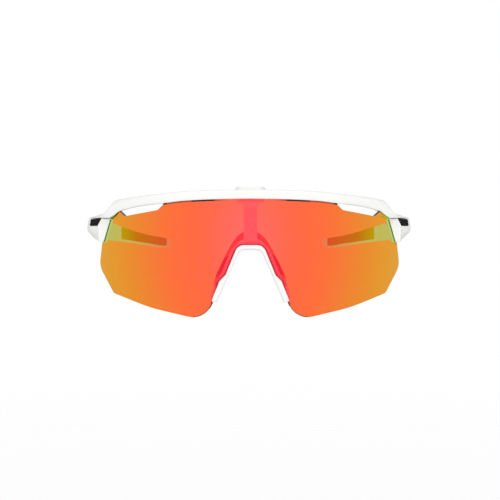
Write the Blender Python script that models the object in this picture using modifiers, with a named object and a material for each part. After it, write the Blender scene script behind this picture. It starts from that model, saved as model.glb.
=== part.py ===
"""Wraparound sport sunglasses: one toric shield lens, a brow frame, two folding temples.

Frame: +Z up, the front faces -Y, +X is the wearer's left, metres.
Origin: the centre of the flat underside of the nose bridge's arch.
"""
import math

import bmesh
import bpy
from mathutils import Matrix, Vector

MM = 0.001

# Driving dimensions, in millimetres, for the wearer's left half (+X).
LENS_APEX_Y = -2.5
LENS_RADIUS = 86.0
LENS_VERTICAL_RADIUS = 150.0
LENS_EQUATOR_Z = 6.0
LENS_THICKNESS = 2.0
LENS_CENTRE_Y = LENS_APEX_Y + LENS_RADIUS
LENS_LOW_Z = -32.0
LENS_HIGH_Z = 27.0
LENS_HALF_ANGLE = math.radians(56.0)
LENS_COLUMNS = 44
LENS_ROWS = 14

CLEARANCE = 0.3
TRIM_FRONT_Y = -12.0
TRIM_BACK_Y = 48.0

BROW_DEPTH = 5.6
BROW_PROUD = 1.3
BROW_TOE_INSET = 0.3
BROW_SHOULDER_INSET = 0.1
BROW_TOP_FRONT_INSET = 1.1
BROW_TOP_BACK_INSET = 0.8
BROW_TOE_RISE = 0.2
BROW_SHOULDER_RISE = 0.78
HOOD_UNDERSIDE_Z = 14.4
GROOVE_LOW_Z = 8.0
GROOVE_ROWS = 8
HOOK_HIGH_Z = 22.0
HOOK_ROWS = 6

BRIDGE_PROUD = 0.5
BRIDGE_BACK = 5.5
BRIDGE_LOW_Z = -26.0
BRIDGE_HIGH_Z = 7.0
BRIDGE_HALF_ANGLE = math.radians(18.0)
BRIDGE_COLUMNS = 20
BRIDGE_ROWS = 10
LENS_ROOM_PROUD = 3.0
LENS_ROOM_MARGIN_Z = 2.0
LENS_ROOM_HALF_ANGLE = math.radians(20.0)
STRUT_HALF_WIDTH = 2.9
CLIP_HALF_WIDTH = 6.45
CLIP_INSET = 0.2
CLIP_TOP_Z = 27.3
CLIP_DEPTH = 6.0
CLIP_CENTRE_Y = 2.85
PAD_DEPTH = 6.5

HINGE_X = 65.0
HINGE_Y = 40.0
KNUCKLE_RADIUS = 3.3
EAR_RADIUS = 3.2
EAR_LOW_Z = 4.7
EAR_HIGH_Z = 6.9
BORE_RADIUS = 1.15
SHANK_RADIUS = 1.0
SHANK_CHAMFER = 0.25
HEAD_RADIUS = 1.9
HEAD_HEIGHT = 1.0
HEAD_CHAMFER = 0.25
DRIVE_SLOT = (2.6, 0.45, 1.0)
INSERT_RADIUS = 1.9
INSERT_HEIGHT = 0.9
WASHER_RADIUS = 2.9
WASHER_THICKNESS = 0.5
FIT_GAP = 0.1
HAIR_GAP = 0.05
CUT_LOW_Z = 2.0
CUT_HIGH_Z = 16.0

LUG_WEB_CENTRE = (61.0, 33.0, 10.0)
LUG_WEB_SIZE = (2.2, 5.4, 10.6)
EAR_ARM_START_Y = 33.2
EAR_ARM_WIDTH = 3.6
EAR_SLOT_GAP = 0.5

TEMPLE_CHAMFER = 0.5
TEMPLE_BELLY_RISE = 0.42
TEMPLE_SHOULDER_RISE = 0.72

PLATE_FRONT_Y = 31.0
PLATE_BACK_Y = 41.3
PLATE_LOW_Z = 10.8
PLATE_THICKNESS = 1.3
PLATE_LEAN = 0.1
PLATE_TAPER = 0.5
PLATE_SECTIONS = (0.0, 0.33, 0.66, 1.0)
POCKET_REACH = 3.0
POCKET_GAP = 0.25
GRIP_FRONT_Y = 108.6
GRIP_BEND_YS = (122.0, 137.0)
GRIP_BACK_Y = 148.8
GRIP_PROUD = 0.5
GRIP_DEPTH = 1.0
GRIP_LEAN = -2.0
GRIP_MARGIN_LOW = 1.1
GRIP_TOP_DROP = 0.1

# Front outline of the lens, half, from the top centre to the notch top: (x, z, corner radius).
LENS_OUTLINE = [
    (0.0, 24.0, 0.0),
    (20.0, 23.9, 60.0),
    (37.3, 22.5, 0.4),
    (37.9, 19.7, 0.8),
    (40.2, 17.5, 1.5),
    (54.3, 15.05, 1.0),
    (58.3, 18.4, 0.5),
    (62.2, 15.0, 0.5),
    (62.3, 13.6, 0.5),
    (65.1, 3.7, 0.6),
    (66.3, 2.7, 0.5),
    (67.7, -7.2, 9.0),
    (60.9, -19.3, 2.5),
    (44.0, -25.4, 60.0),
    (20.6, -30.3, 9.0),
    (16.5, -21.6, 1.0),
    (13.9, -13.9, 1.5),
    (11.0, -10.9, 1.5),
    (5.6, 2.1, 4.2),
    (0.0, 2.1, 0.0),
]

# Front outline of the nose bridge's arch and arms, half.
BRIDGE_OUTLINE = [
    (0.0, 4.2, 0.0),
    (4.8, 4.2, 1.5),
    (8.8, 0.4, 2.5),
    (17.2, -20.4, 0.6),
    (17.0, -22.4, 0.7),
    (14.4, -22.6, 0.7),
    (4.6, 0.0, 3.4),
    (0.0, 0.0, 0.0),
]

# Front outline of the lens's notch room in the nose bridge, half.
NOTCH_ROOM = [
    (0.0, 1.8, 0.0),
    (5.4, 1.8, 4.2),
    (10.7, -11.1, 1.5),
    (13.6, -14.1, 1.5),
    (16.15, -21.6, 0.0),
    (20.4, -29.9, 0.0),
    (0.0, -29.9, 0.0),
]

# Strut up the middle of the lens's back: (z, half width, front y, back y).
STRUT_STATIONS = [
    (2.8, 3.9, 0.1, 2.6),
    (5.2, STRUT_HALF_WIDTH, 0.1, 2.5),
    (12.0, STRUT_HALF_WIDTH, 0.2, 2.6),
    (18.2, STRUT_HALF_WIDTH, 0.6, 3.3),
    (19.6, 3.6, 0.9, 4.2),
    (21.3, CLIP_HALF_WIDTH - CLIP_INSET, 3.5, 5.6),
    (CLIP_TOP_Z - 0.4, CLIP_HALF_WIDTH - CLIP_INSET, 3.5, 5.6),
]

# Groove under the brow for the lens's top edge, half, and the hooks at its ends: (x, z).
GROOVE_OUTLINE = [(0.0, 24.35), (20.0, 24.25), (38.2, 22.85), (38.2, 15.0), (0.0, 15.0)]
HOOK_OUTLINE = [(56.9, 17.7), (58.3, 18.85), (62.8, 15.15), (62.8, 12.0), (55.0, 14.0)]

# Brow bar, front view: (x, lower z, upper z).
BROW_PROFILE = [
    (0.0, 22.1, 26.1),
    (13.0, 21.9, 26.0),
    (22.0, 21.65, 25.8),
    (30.5, 21.3, 25.4),
    (38.0, 20.5, 24.7),
    (46.7, 19.6, 23.85),
    (52.4, 18.6, 23.2),
    (57.0, 17.5, 22.5),
    (60.2, 15.8, 21.8),
    (62.6, 14.4, 20.6),
]

# Brow end and hood over the hinge: outer x, y, inner x, y, upper z outside, upper z inside.
HOOD_STATIONS = [
    (65.1, 26.0, 59.9, 30.0, 17.7, 19.2),
    (66.9, 29.5, 59.6, 33.5, 16.3, 17.6),
    (69.6, 36.0, 60.6, 38.0, 15.7, 16.9),
    (71.8, 42.5, 62.2, 43.0, 15.2, 16.3),
    (73.1, 48.5, 66.6, 48.0, 14.9, 15.4),
]

# Temple: y, inner x above, inner x below, outer x, lower z, upper z, outer top and bottom insets.
TEMPLE_STATIONS = [
    (30.2, 63.2, 66.2, 69.1, 3.8, 14.1, 1.5, 0.3),
    (35.0, 62.5, 65.6, 70.6, 3.9, 14.1, 1.4, 1.8),
    (42.0, 62.3, 63.0, 72.6, 4.3, 14.1, 1.2, 3.4),
    (52.0, 67.2, 67.6, 74.5, 4.8, 14.1, 1.4, 4.0),
    (60.0, 69.8, 69.9, 75.2, 5.0, 13.9, 1.4, 3.2),
    (82.0, 69.9, 69.9, 73.7, 5.2, 12.8, 0.9, 1.6),
    (105.0, 64.1, 64.1, 67.7, 4.6, 11.4, 0.6, 0.9),
    (122.0, 58.1, 58.1, 61.6, 3.7, 10.0, 0.5, 0.6),
    (137.0, 50.6, 50.6, 54.2, 2.5, 7.8, 0.4, 0.5),
    (151.8, 40.5, 40.5, 44.2, 1.5, 5.6, 0.4, 0.5),
    (153.9, 39.7, 39.7, 41.9, 2.0, 5.1, 0.4, 0.5),
]

# Nose pad cage, half: front inner, front outer, back outer, back inner corners as (x, z).
PAD_STATIONS = [
    ((0.0, 0.6), (0.0, 3.6), (0.0, 9.5), (0.0, 6.5)),
    ((2.6, 0.5), (3.8, 3.3), (4.0, 8.6), (2.8, 5.8)),
    ((5.0, -1.2), (7.2, 0.9), (7.0, 5.2), (4.9, 3.1)),
    ((6.6, -4.2), (9.0, -2.8), (10.1, 0.1), (7.7, -1.6)),
    ((9.0, -9.4), (11.5, -8.6), (13.4, -7.0), (11.0, -8.2)),
    ((11.2, -14.4), (13.6, -13.6), (16.0, -12.9), (13.7, -13.9)),
    ((12.3, -16.9), (14.7, -16.2), (17.1, -16.3), (14.8, -17.0)),
]


def clear_scene():
    """Remove the objects, meshes and materials of an earlier run."""
    for item in list(bpy.data.objects):
        bpy.data.objects.remove(item, do_unlink=True)


def make_collection(name):
    """Return a new collection linked to the scene."""
    collection = bpy.data.collections.new(name)
    bpy.context.scene.collection.children.link(collection)
    return collection


def make_material(name, colour, roughness, metallic=0.0, alpha=1.0):
    """Return a Principled material."""
    material = bpy.data.materials.new(name)
    material.use_nodes = True
    shader = material.node_tree.nodes["Principled BSDF"]
    shader.inputs["Base Color"].default_value = (*colour, 1.0)
    shader.inputs["Roughness"].default_value = roughness
    shader.inputs["Metallic"].default_value = metallic
    shader.inputs["Alpha"].default_value = alpha
    material.diffuse_color = (*colour, alpha)
    return material


def lens_section_radius(z):
    """Radius of the lens front face about its upright axis, at height z."""
    rise = z - LENS_EQUATOR_Z
    sag = LENS_VERTICAL_RADIUS - math.sqrt(LENS_VERTICAL_RADIUS ** 2 - rise ** 2)
    return LENS_RADIUS - sag


def lens_front_y(x, z):
    """Y of the lens front face above the point x, z of the front view."""
    return LENS_CENTRE_Y - math.sqrt(lens_section_radius(z) ** 2 - x * x)


def rounded(corners, steps=4):
    """Round an open chain of (x, z, radius) corners into a list of (x, z) points."""
    points = [corners[0][:2]]
    for before, corner, after in zip(corners, corners[1:], corners[2:]):
        centre = Vector(corner[:2])
        inward = (Vector(before[:2]) - centre).normalized()
        outward = (Vector(after[:2]) - centre).normalized()
        half_angle = inward.angle(outward) / 2
        if corner[2] <= 0.0 or half_angle > math.radians(89.9):
            points.append(tuple(centre))
            continue
        reach = corner[2] / math.tan(half_angle)
        pivot = centre + (inward + outward).normalized() * corner[2] / math.sin(half_angle)
        start = centre + inward * reach - pivot
        end = centre + outward * reach - pivot
        turn = start.angle_signed(end)
        for index in range(steps + 1):
            rotation = Matrix.Rotation(-turn * index / steps, 2)
            points.append(tuple(pivot + rotation @ start))
    points.append(corners[-1][:2])
    return points


def mirrored_outline(half):
    """Close a half outline that starts and ends on the centre line."""
    return half + [(-x, z) for x, z in reversed(half[1:-1])]


def link_object(name, mesh, collection, material=None):
    """Return a linked object for a mesh."""
    item = bpy.data.objects.new(name, mesh)
    collection.objects.link(item)
    if material is not None:
        mesh.materials.append(material)
    return item


def as_cutter(item):
    """Mark an object as a helper that isn't part of the model."""
    item.hide_render = True
    item.display_type = "WIRE"
    return item


def boolean(item, other, operation):
    """Add an exact Boolean modifier."""
    modifier = item.modifiers.new(operation.lower() + "_" + other.name, "BOOLEAN")
    modifier.operation = operation
    modifier.solver = "EXACT"
    modifier.object = other


def loft(name, rings, collection, material=None, open_start=False):
    """Skin a row of rings of world points in millimetres, with flat caps."""
    mesh = bpy.data.meshes.new(name)
    work = bmesh.new()
    rows = []
    for ring in rings:
        rows.append([work.verts.new(Vector(point) * MM) for point in ring])
    for near, far in zip(rows, rows[1:]):
        for index in range(len(near)):
            following = (index + 1) % len(near)
            work.faces.new((near[index], near[following], far[following]))
            work.faces.new((near[index], far[following], far[index]))
    if not open_start:
        work.faces.new(rows[0])
    work.faces.new(rows[-1])
    bmesh.ops.recalc_face_normals(work, faces=work.faces)
    work.to_mesh(mesh)
    work.free()
    return link_object(name, mesh, collection, material)


def slab(name, outline, y_front, y_back, collection, material=None):
    """Extrude a closed outline of the XZ plane from y_front to y_back."""
    curve = bpy.data.curves.new(name + "_curve", "CURVE")
    curve.dimensions = "2D"
    curve.fill_mode = "BOTH"
    curve.extrude = (y_back - y_front) / 2 * MM
    spline = curve.splines.new("POLY")
    spline.points.add(len(outline) - 1)
    for point, (x, z) in zip(spline.points, outline):
        point.co = (x * MM, z * MM, 0.0, 1.0)
    spline.use_cyclic_u = True
    source = bpy.data.objects.new(name + "_source", curve)
    source.rotation_euler = (math.pi / 2, 0.0, 0.0)
    source.location = (0.0, (y_front + y_back) / 2 * MM, 0.0)
    collection.objects.link(source)
    depsgraph = bpy.context.evaluated_depsgraph_get()
    mesh = bpy.data.meshes.new_from_object(source.evaluated_get(depsgraph))
    work = bmesh.new()
    work.from_mesh(mesh)
    bmesh.ops.remove_doubles(work, verts=work.verts, dist=1e-6)
    bmesh.ops.recalc_face_normals(work, faces=work.faces)
    work.to_mesh(mesh)
    work.free()
    item = link_object(name, mesh, collection, material)
    item.matrix_world = source.matrix_world
    bpy.data.objects.remove(source, do_unlink=True)
    return item


def lens_shell(name, outside, inside, z_low, z_high, half_angle, counts, collection):
    """Toric shell about the lens's upright axis.

    It reaches from outside millimetres in front of the lens's front face
    to inside millimetres behind it.
    """
    columns, rows = counts
    mesh = bpy.data.meshes.new(name)
    work = bmesh.new()
    profile = []
    for index in range(rows + 1):
        z = z_high + (z_low - z_high) * index / rows
        radius = lens_section_radius(z) + outside
        profile.append(work.verts.new((radius * MM, 0.0, z * MM)))
    for upper, lower in zip(profile, profile[1:]):
        work.edges.new((upper, lower))
    work.to_mesh(mesh)
    work.free()
    item = link_object(name, mesh, collection)
    item.location = (0.0, LENS_CENTRE_Y * MM, 0.0)
    item.rotation_euler = (0.0, 0.0, -math.pi / 2 - half_angle)
    screw = item.modifiers.new("sweep", "SCREW")
    screw.angle = 2 * half_angle
    screw.steps = columns
    screw.render_steps = columns
    screw.use_merge_vertices = False
    screw.use_smooth_shade = True
    screw.merge_threshold = 0.00001
    wall = item.modifiers.new("wall", "SOLIDIFY")
    wall.thickness = (outside + inside) * MM
    wall.offset = -1.0
    return item


def turned(name, profile, place, collection, material, closed=False, steps=20):
    """Turn a profile of (radius, z) points, top to bottom, about the upright line at place."""
    mesh = bpy.data.meshes.new(name)
    work = bmesh.new()
    points = [work.verts.new((radius * MM, 0.0, z * MM)) for radius, z in profile]
    for near, far in zip(points, points[1:]):
        work.edges.new((near, far))
    if closed:
        work.edges.new((points[-1], points[0]))
    work.to_mesh(mesh)
    work.free()
    item = link_object(name, mesh, collection, material)
    item.location = (place[0] * MM, place[1] * MM, 0.0)
    screw = item.modifiers.new("turn", "SCREW")
    screw.steps = steps
    screw.render_steps = steps
    screw.use_merge_vertices = True
    screw.merge_threshold = 0.00001
    screw.use_smooth_shade = False
    return item


def cylinder(name, radius, z_low, z_high, place, collection, sides=24):
    """Upright cylinder used to cut or join."""
    mesh = bpy.data.meshes.new(name)
    work = bmesh.new()
    bmesh.ops.create_cone(
        work,
        cap_ends=True,
        segments=sides,
        radius1=radius * MM,
        radius2=radius * MM,
        depth=(z_high - z_low) * MM,
    )
    work.to_mesh(mesh)
    work.free()
    item = link_object(name, mesh, collection)
    item.location = (place[0] * MM, place[1] * MM, (z_low + z_high) / 2 * MM)
    return as_cutter(item)


def box(name, size, centre, collection, turn=0.0):
    """Box used to cut or join, turned about the upright direction."""
    mesh = bpy.data.meshes.new(name)
    work = bmesh.new()
    bmesh.ops.create_cube(work, size=1.0)
    bmesh.ops.scale(work, vec=Vector(size) * MM, verts=work.verts)
    work.to_mesh(mesh)
    work.free()
    item = link_object(name, mesh, collection)
    item.location = Vector(centre) * MM
    item.rotation_euler = (0.0, 0.0, turn)
    return as_cutter(item)


def temple_values(y):
    """Interpolate the temple's station values at y."""
    for near, far in zip(TEMPLE_STATIONS, TEMPLE_STATIONS[1:]):
        if y <= far[0]:
            share = (y - near[0]) / (far[0] - near[0])
            return [a + (b - a) * share for a, b in zip(near, far)]
    return list(TEMPLE_STATIONS[-1])


def make_lens(parts, cutters, material):
    """Shield lens: a toric shell trimmed to its front outline."""
    outline = mirrored_outline(rounded(LENS_OUTLINE))
    trim = as_cutter(slab("lens_outline", outline, TRIM_FRONT_Y, TRIM_BACK_Y, cutters))
    lens = lens_shell(
        "shield_lens", 0.0, LENS_THICKNESS, LENS_LOW_Z, LENS_HIGH_Z,
        LENS_HALF_ANGLE, (LENS_COLUMNS, LENS_ROWS), parts
    )
    lens.data.materials.append(material)
    boolean(lens, trim, "INTERSECT")
    return lens


def brow_height(x):
    """Lower and upper z of the brow bar at x, from its front profile."""
    for near, far in zip(BROW_PROFILE, BROW_PROFILE[1:]):
        if x <= far[0]:
            share = (x - near[0]) / (far[0] - near[0])
            return [a + (b - a) * share for a, b in zip(near[1:], far[1:])]
    return list(BROW_PROFILE[-1][1:])


def brow_ring(outer, inner, outer_heights, inner_heights):
    """Seven-sided upright section between two plan points, each with its lower and upper z."""
    start = Vector((*outer, 0.0))
    end = Vector((*inner, 0.0))
    across = (end - start).normalized()
    low, high = outer_heights
    inner_low, inner_high = inner_heights
    rise = high - low
    return [
        start + across * BROW_TOE_INSET + Vector((0.0, 0.0, low)),
        start + Vector((0.0, 0.0, low + BROW_TOE_RISE * rise)),
        start + across * BROW_SHOULDER_INSET + Vector((0.0, 0.0, low + BROW_SHOULDER_RISE * rise)),
        start + across * BROW_TOP_FRONT_INSET + Vector((0.0, 0.0, high)),
        end - across * BROW_TOP_BACK_INSET + Vector((0.0, 0.0, inner_high)),
        end + Vector((0.0, 0.0, inner_high - BROW_TOE_RISE * rise)),
        end + Vector((0.0, 0.0, inner_low)),
    ]


def brow_rings():
    """Sections of the left half of the brow, from the centre line to the hood's back end."""
    rings = []
    for x, low, high in BROW_PROFILE:
        front = lens_section_radius(0.5 * (low + high)) + BROW_PROUD
        back = front - BROW_DEPTH
        sine = x / front
        cosine = math.sqrt(1.0 - sine * sine)
        outer = (x, LENS_CENTRE_Y - front * cosine)
        inner = (back * sine, LENS_CENTRE_Y - back * cosine)
        rings.append(brow_ring(outer, inner, (low, high), brow_height(inner[0])))
    for outer_x, outer_y, inner_x, inner_y, z_outer, z_inner in HOOD_STATIONS:
        outer_heights = (HOOD_UNDERSIDE_Z, z_outer)
        inner_heights = (HOOD_UNDERSIDE_Z, z_inner)
        rings.append(brow_ring((outer_x, outer_y), (inner_x, inner_y), outer_heights, inner_heights))
    return rings


def ear_arm(name, side, grow, z_low, z_high, cutters):
    """Bar from the lower ear to the lug's web."""
    web_x = LUG_WEB_CENTRE[0]
    across = Vector((web_x - HINGE_X, EAR_ARM_START_Y - HINGE_Y))
    centre = ((HINGE_X + web_x) / 2 * side, (HINGE_Y + EAR_ARM_START_Y) / 2, (z_low + z_high) / 2)
    size = (across.length + 2 * grow, EAR_ARM_WIDTH + 2 * grow, z_high - z_low)
    turn = math.atan2(across.y, across.x * side)
    return box(name, size, centre, cutters, turn)


def make_brow(parts, cutters, material):
    """Brow frame: the bar with its hoods, lens groove and two hinge lugs."""
    brow = loft("brow_frame", brow_rings(), parts, material, open_start=True)
    mirror = brow.modifiers.new("mirror", "MIRROR")
    mirror.use_axis = (True, False, False)
    mirror.use_clip = True
    mirror.merge_threshold = 0.00001
    for side, word in ((1, "left"), (-1, "right")):
        add_hinge_lug(brow, side, word, cutters)
    cut_lens_groove(brow, cutters)
    return brow


def add_hinge_lug(brow, side, word, cutters):
    """Join the lug's web, arm and ear to the brow, then cut the insert seat and the screw's bores."""
    axis = (HINGE_X * side, HINGE_Y)
    web_x, web_y, web_z = LUG_WEB_CENTRE
    web = box("lug_web_" + word, LUG_WEB_SIZE, (web_x * side, web_y, web_z), cutters)
    boolean(brow, web, "UNION")
    arm = ear_arm("lug_arm_" + word, side, 0.0, EAR_LOW_Z, EAR_HIGH_Z, cutters)
    boolean(brow, arm, "UNION")
    ear = cylinder("lug_ear_" + word, EAR_RADIUS, EAR_LOW_Z, EAR_HIGH_Z, axis, cutters)
    boolean(brow, ear, "UNION")
    seat_low = HOOD_UNDERSIDE_Z - FIT_GAP
    seat_high = HOOD_UNDERSIDE_Z + HAIR_GAP + INSERT_HEIGHT + FIT_GAP
    seat = cylinder("insert_seat_" + word, INSERT_RADIUS + FIT_GAP, seat_low, seat_high, axis, cutters)
    boolean(brow, seat, "DIFFERENCE")
    bore = cylinder("ear_bore_" + word, BORE_RADIUS, CUT_LOW_Z, EAR_HIGH_Z + FIT_GAP, axis, cutters)
    boolean(brow, bore, "DIFFERENCE")
    sink_high = EAR_LOW_Z + HEAD_HEIGHT + FIT_GAP
    sink = cylinder("head_sink_" + word, HEAD_RADIUS + FIT_GAP, CUT_LOW_Z, sink_high, axis, cutters)
    boolean(brow, sink, "DIFFERENCE")


def cut_lens_groove(brow, cutters):
    """Cut the groove for the lens's top edge, and the hooks' grooves at its ends."""
    groove = lens_shell(
        "groove", CLEARANCE, LENS_THICKNESS + CLEARANCE, GROOVE_LOW_Z, LENS_HIGH_Z,
        LENS_HALF_ANGLE, (LENS_COLUMNS, GROOVE_ROWS), cutters
    )
    as_cutter(groove)
    outline = mirrored_outline(GROOVE_OUTLINE)
    trim = as_cutter(slab("groove_top", outline, TRIM_FRONT_Y, TRIM_BACK_Y, cutters))
    boolean(groove, trim, "INTERSECT")
    boolean(brow, groove, "DIFFERENCE")
    for side, word in ((1, "left"), (-1, "right")):
        hook = lens_shell(
            "hook_" + word, CLEARANCE, LENS_THICKNESS + CLEARANCE, GROOVE_LOW_Z, HOOK_HIGH_Z,
            LENS_HALF_ANGLE, (LENS_COLUMNS, HOOK_ROWS), cutters
        )
        as_cutter(hook)
        outline = [(x * side, z) for x, z in HOOK_OUTLINE]
        trim = as_cutter(slab("hook_trim_" + word, outline, TRIM_FRONT_Y, TRIM_BACK_Y, cutters))
        boolean(hook, trim, "INTERSECT")
        boolean(brow, hook, "DIFFERENCE")


def make_bridge(parts, cutters, material):
    """Nose bridge: a strut that clips over the brow, and an arch whose arms hold the lens notch."""
    bridge = lens_shell(
        "nose_bridge", BRIDGE_PROUD, BRIDGE_BACK, BRIDGE_LOW_Z, BRIDGE_HIGH_Z,
        BRIDGE_HALF_ANGLE, (BRIDGE_COLUMNS, BRIDGE_ROWS), parts
    )
    bridge.data.materials.append(material)
    outline = mirrored_outline(rounded(BRIDGE_OUTLINE))
    boolean(bridge, as_cutter(slab("arch_outline", outline, TRIM_FRONT_Y, TRIM_BACK_Y, cutters)), "INTERSECT")
    lens_room = lens_shell(
        "lens_room", LENS_ROOM_PROUD, LENS_THICKNESS + CLEARANCE,
        BRIDGE_LOW_Z - LENS_ROOM_MARGIN_Z, BRIDGE_HIGH_Z + LENS_ROOM_MARGIN_Z,
        LENS_ROOM_HALF_ANGLE, (BRIDGE_COLUMNS, BRIDGE_ROWS), cutters
    )
    as_cutter(lens_room)
    notch_outline = mirrored_outline(rounded(NOTCH_ROOM))
    notch = as_cutter(slab("notch_room", notch_outline, TRIM_FRONT_Y, TRIM_BACK_Y, cutters))
    boolean(lens_room, notch, "DIFFERENCE")
    boolean(bridge, lens_room, "DIFFERENCE")
    rings = []
    for z, half_width, y_front, y_back in STRUT_STATIONS:
        corners = ((-half_width, y_front), (half_width, y_front), (half_width, y_back), (-half_width, y_back))
        rings.append([(x, y, z) for x, y in corners])
    strut = as_cutter(loft("strut", rings, cutters))
    boolean(bridge, strut, "UNION")
    hook_low = BROW_PROFILE[0][2] + CLEARANCE
    size = (2 * CLIP_HALF_WIDTH, CLIP_DEPTH, CLIP_TOP_Z - hook_low)
    hook = box("clip_hook", size, (0.0, CLIP_CENTRE_Y, (CLIP_TOP_Z + hook_low) / 2), cutters)
    boolean(bridge, hook, "UNION")
    return bridge


def make_pad(parts, material):
    """Soft saddle behind the nose bridge."""
    rings = []
    for front_inner, front_outer, back_outer, back_inner in PAD_STATIONS:
        ring = []
        for (x, z), offset in (
            (front_inner, 0.0),
            (front_outer, 0.0),
            (back_outer, PAD_DEPTH),
            (back_inner, PAD_DEPTH),
        ):
            y = lens_front_y(x, z) + BRIDGE_BACK + CLEARANCE + offset
            ring.append((x, y, z))
        rings.append(ring)
    pad = loft("nose_pad", rings, parts, material, open_start=True)
    mirror = pad.modifiers.new("mirror", "MIRROR")
    mirror.use_axis = (True, False, False)
    mirror.use_clip = True
    mirror.merge_threshold = 0.00001
    soft = pad.modifiers.new("soft", "SUBSURF")
    soft.levels = 1
    soft.render_levels = 1
    return pad


def temple_ring(station, side):
    """Eight-sided section of a temple, with its inner edges chamfered."""
    y, inner_top, inner_low, outer, z_low, z_high, top_inset, low_inset = station
    height = z_high - z_low
    corners = [
        (inner_low + TEMPLE_CHAMFER, z_low),
        (outer - low_inset, z_low),
        (outer, z_low + TEMPLE_BELLY_RISE * height),
        (outer, z_low + TEMPLE_SHOULDER_RISE * height),
        (outer - top_inset, z_high),
        (inner_top + TEMPLE_CHAMFER, z_high),
        (inner_top, z_high - TEMPLE_CHAMFER),
        (inner_low, z_low + TEMPLE_CHAMFER),
    ]
    return [(x * side, y, z) for x, z in corners]


def plate_rings(side, grow):
    """Sections of the dark plate on the outer face, or of its pocket when grown."""
    rings = []
    for share in PLATE_SECTIONS:
        y = PLATE_FRONT_Y + (PLATE_BACK_Y - PLATE_FRONT_Y) * share
        if share == 0.0:
            y -= grow
        if share == 1.0:
            y += grow
        lean = PLATE_LEAN * (1.0 - share)
        low = temple_values(y + lean)
        z_high = temple_values(y - lean)[5]
        rise = (POCKET_REACH if grow else 0.0) / (z_high - PLATE_LOW_Z)
        y_high = y - lean - 2.0 * lean * rise
        high = temple_values(y_high)
        front_low = low[3] + (POCKET_REACH if grow else 0.0)
        front_high = high[3] + (POCKET_REACH if grow else -high[6])
        back_low = low[3] - PLATE_THICKNESS - grow
        back_high = high[3] - PLATE_THICKNESS - grow - PLATE_TAPER * (1.0 + rise)
        top = z_high + (POCKET_REACH if grow else 0.0)
        rings.append([
            (back_low * side, y + lean, PLATE_LOW_Z - grow),
            (front_low * side, y + lean, PLATE_LOW_Z - grow),
            (front_high * side, y_high, top),
            (back_high * side, y_high, top),
        ])
    return rings


def grip_rings(side, grow):
    """Sections of the rubber grip on the inner face, or of its pocket when grown."""
    rings = []
    for y in (GRIP_FRONT_Y - grow, *GRIP_BEND_YS, GRIP_BACK_Y + grow):
        lean = GRIP_LEAN if y <= GRIP_FRONT_Y else 0.0
        low = temple_values(y + lean)
        high = temple_values(y - lean)
        inward = POCKET_REACH if grow else GRIP_PROUD
        outward = GRIP_DEPTH + grow
        z_low = low[4] + GRIP_MARGIN_LOW - grow
        z_high = high[5] - GRIP_TOP_DROP + (POCKET_REACH if grow else 0.0)
        rings.append([
            ((low[1] + outward) * side, y + lean, z_low),
            ((high[1] + outward) * side, y - lean, z_high),
            ((high[1] - inward) * side, y - lean, z_high),
            ((low[1] - inward) * side, y + lean, z_low),
        ])
    return rings


def make_temple(word, side, materials, parts, cutters):
    """One folding temple with its dark plate and rubber grip, on an empty at the hinge axis."""
    axis = (HINGE_X * side, HINGE_Y)
    pivot = bpy.data.objects.new("hinge_axis_" + word, None)
    pivot.location = (axis[0] * MM, axis[1] * MM, 0.0)
    parts.objects.link(pivot)

    rings = [temple_ring(station, side) for station in TEMPLE_STATIONS]
    temple = loft("temple_" + word, rings, parts, materials["white"])
    knuckle_top = HOOD_UNDERSIDE_Z - WASHER_THICKNESS - 2 * FIT_GAP
    low = EAR_HIGH_Z + CLEARANCE
    knuckle = cylinder("knuckle_" + word, KNUCKLE_RADIUS, low, knuckle_top, axis, cutters)
    boolean(temple, knuckle, "UNION")
    slot = cylinder("ear_slot_" + word, EAR_RADIUS + EAR_SLOT_GAP, CUT_LOW_Z, low, axis, cutters)
    boolean(temple, slot, "DIFFERENCE")
    arm_slot = ear_arm("arm_slot_" + word, side, EAR_SLOT_GAP, CUT_LOW_Z, low, cutters)
    boolean(temple, arm_slot, "DIFFERENCE")
    bore = cylinder("knuckle_bore_" + word, BORE_RADIUS, CUT_LOW_Z, CUT_HIGH_Z, axis, cutters)
    boolean(temple, bore, "DIFFERENCE")
    seat = cylinder("washer_seat_" + word, WASHER_RADIUS + CLEARANCE, knuckle_top, CUT_HIGH_Z, axis, cutters)
    boolean(temple, seat, "DIFFERENCE")
    plate_pocket = as_cutter(loft("plate_pocket_" + word, plate_rings(side, POCKET_GAP), cutters))
    boolean(temple, plate_pocket, "DIFFERENCE")
    grip_pocket = as_cutter(loft("grip_pocket_" + word, grip_rings(side, POCKET_GAP), cutters))
    boolean(temple, grip_pocket, "DIFFERENCE")

    plate = loft("temple_plate_" + word, plate_rings(side, 0.0), parts, materials["black"])
    grip = loft("temple_grip_" + word, grip_rings(side, 0.0), parts, materials["rubber"])
    for piece in (temple, plate, grip):
        piece.parent = pivot
        piece.matrix_parent_inverse = Matrix.Translation(-Vector((*axis, 0.0)) * MM)


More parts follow.
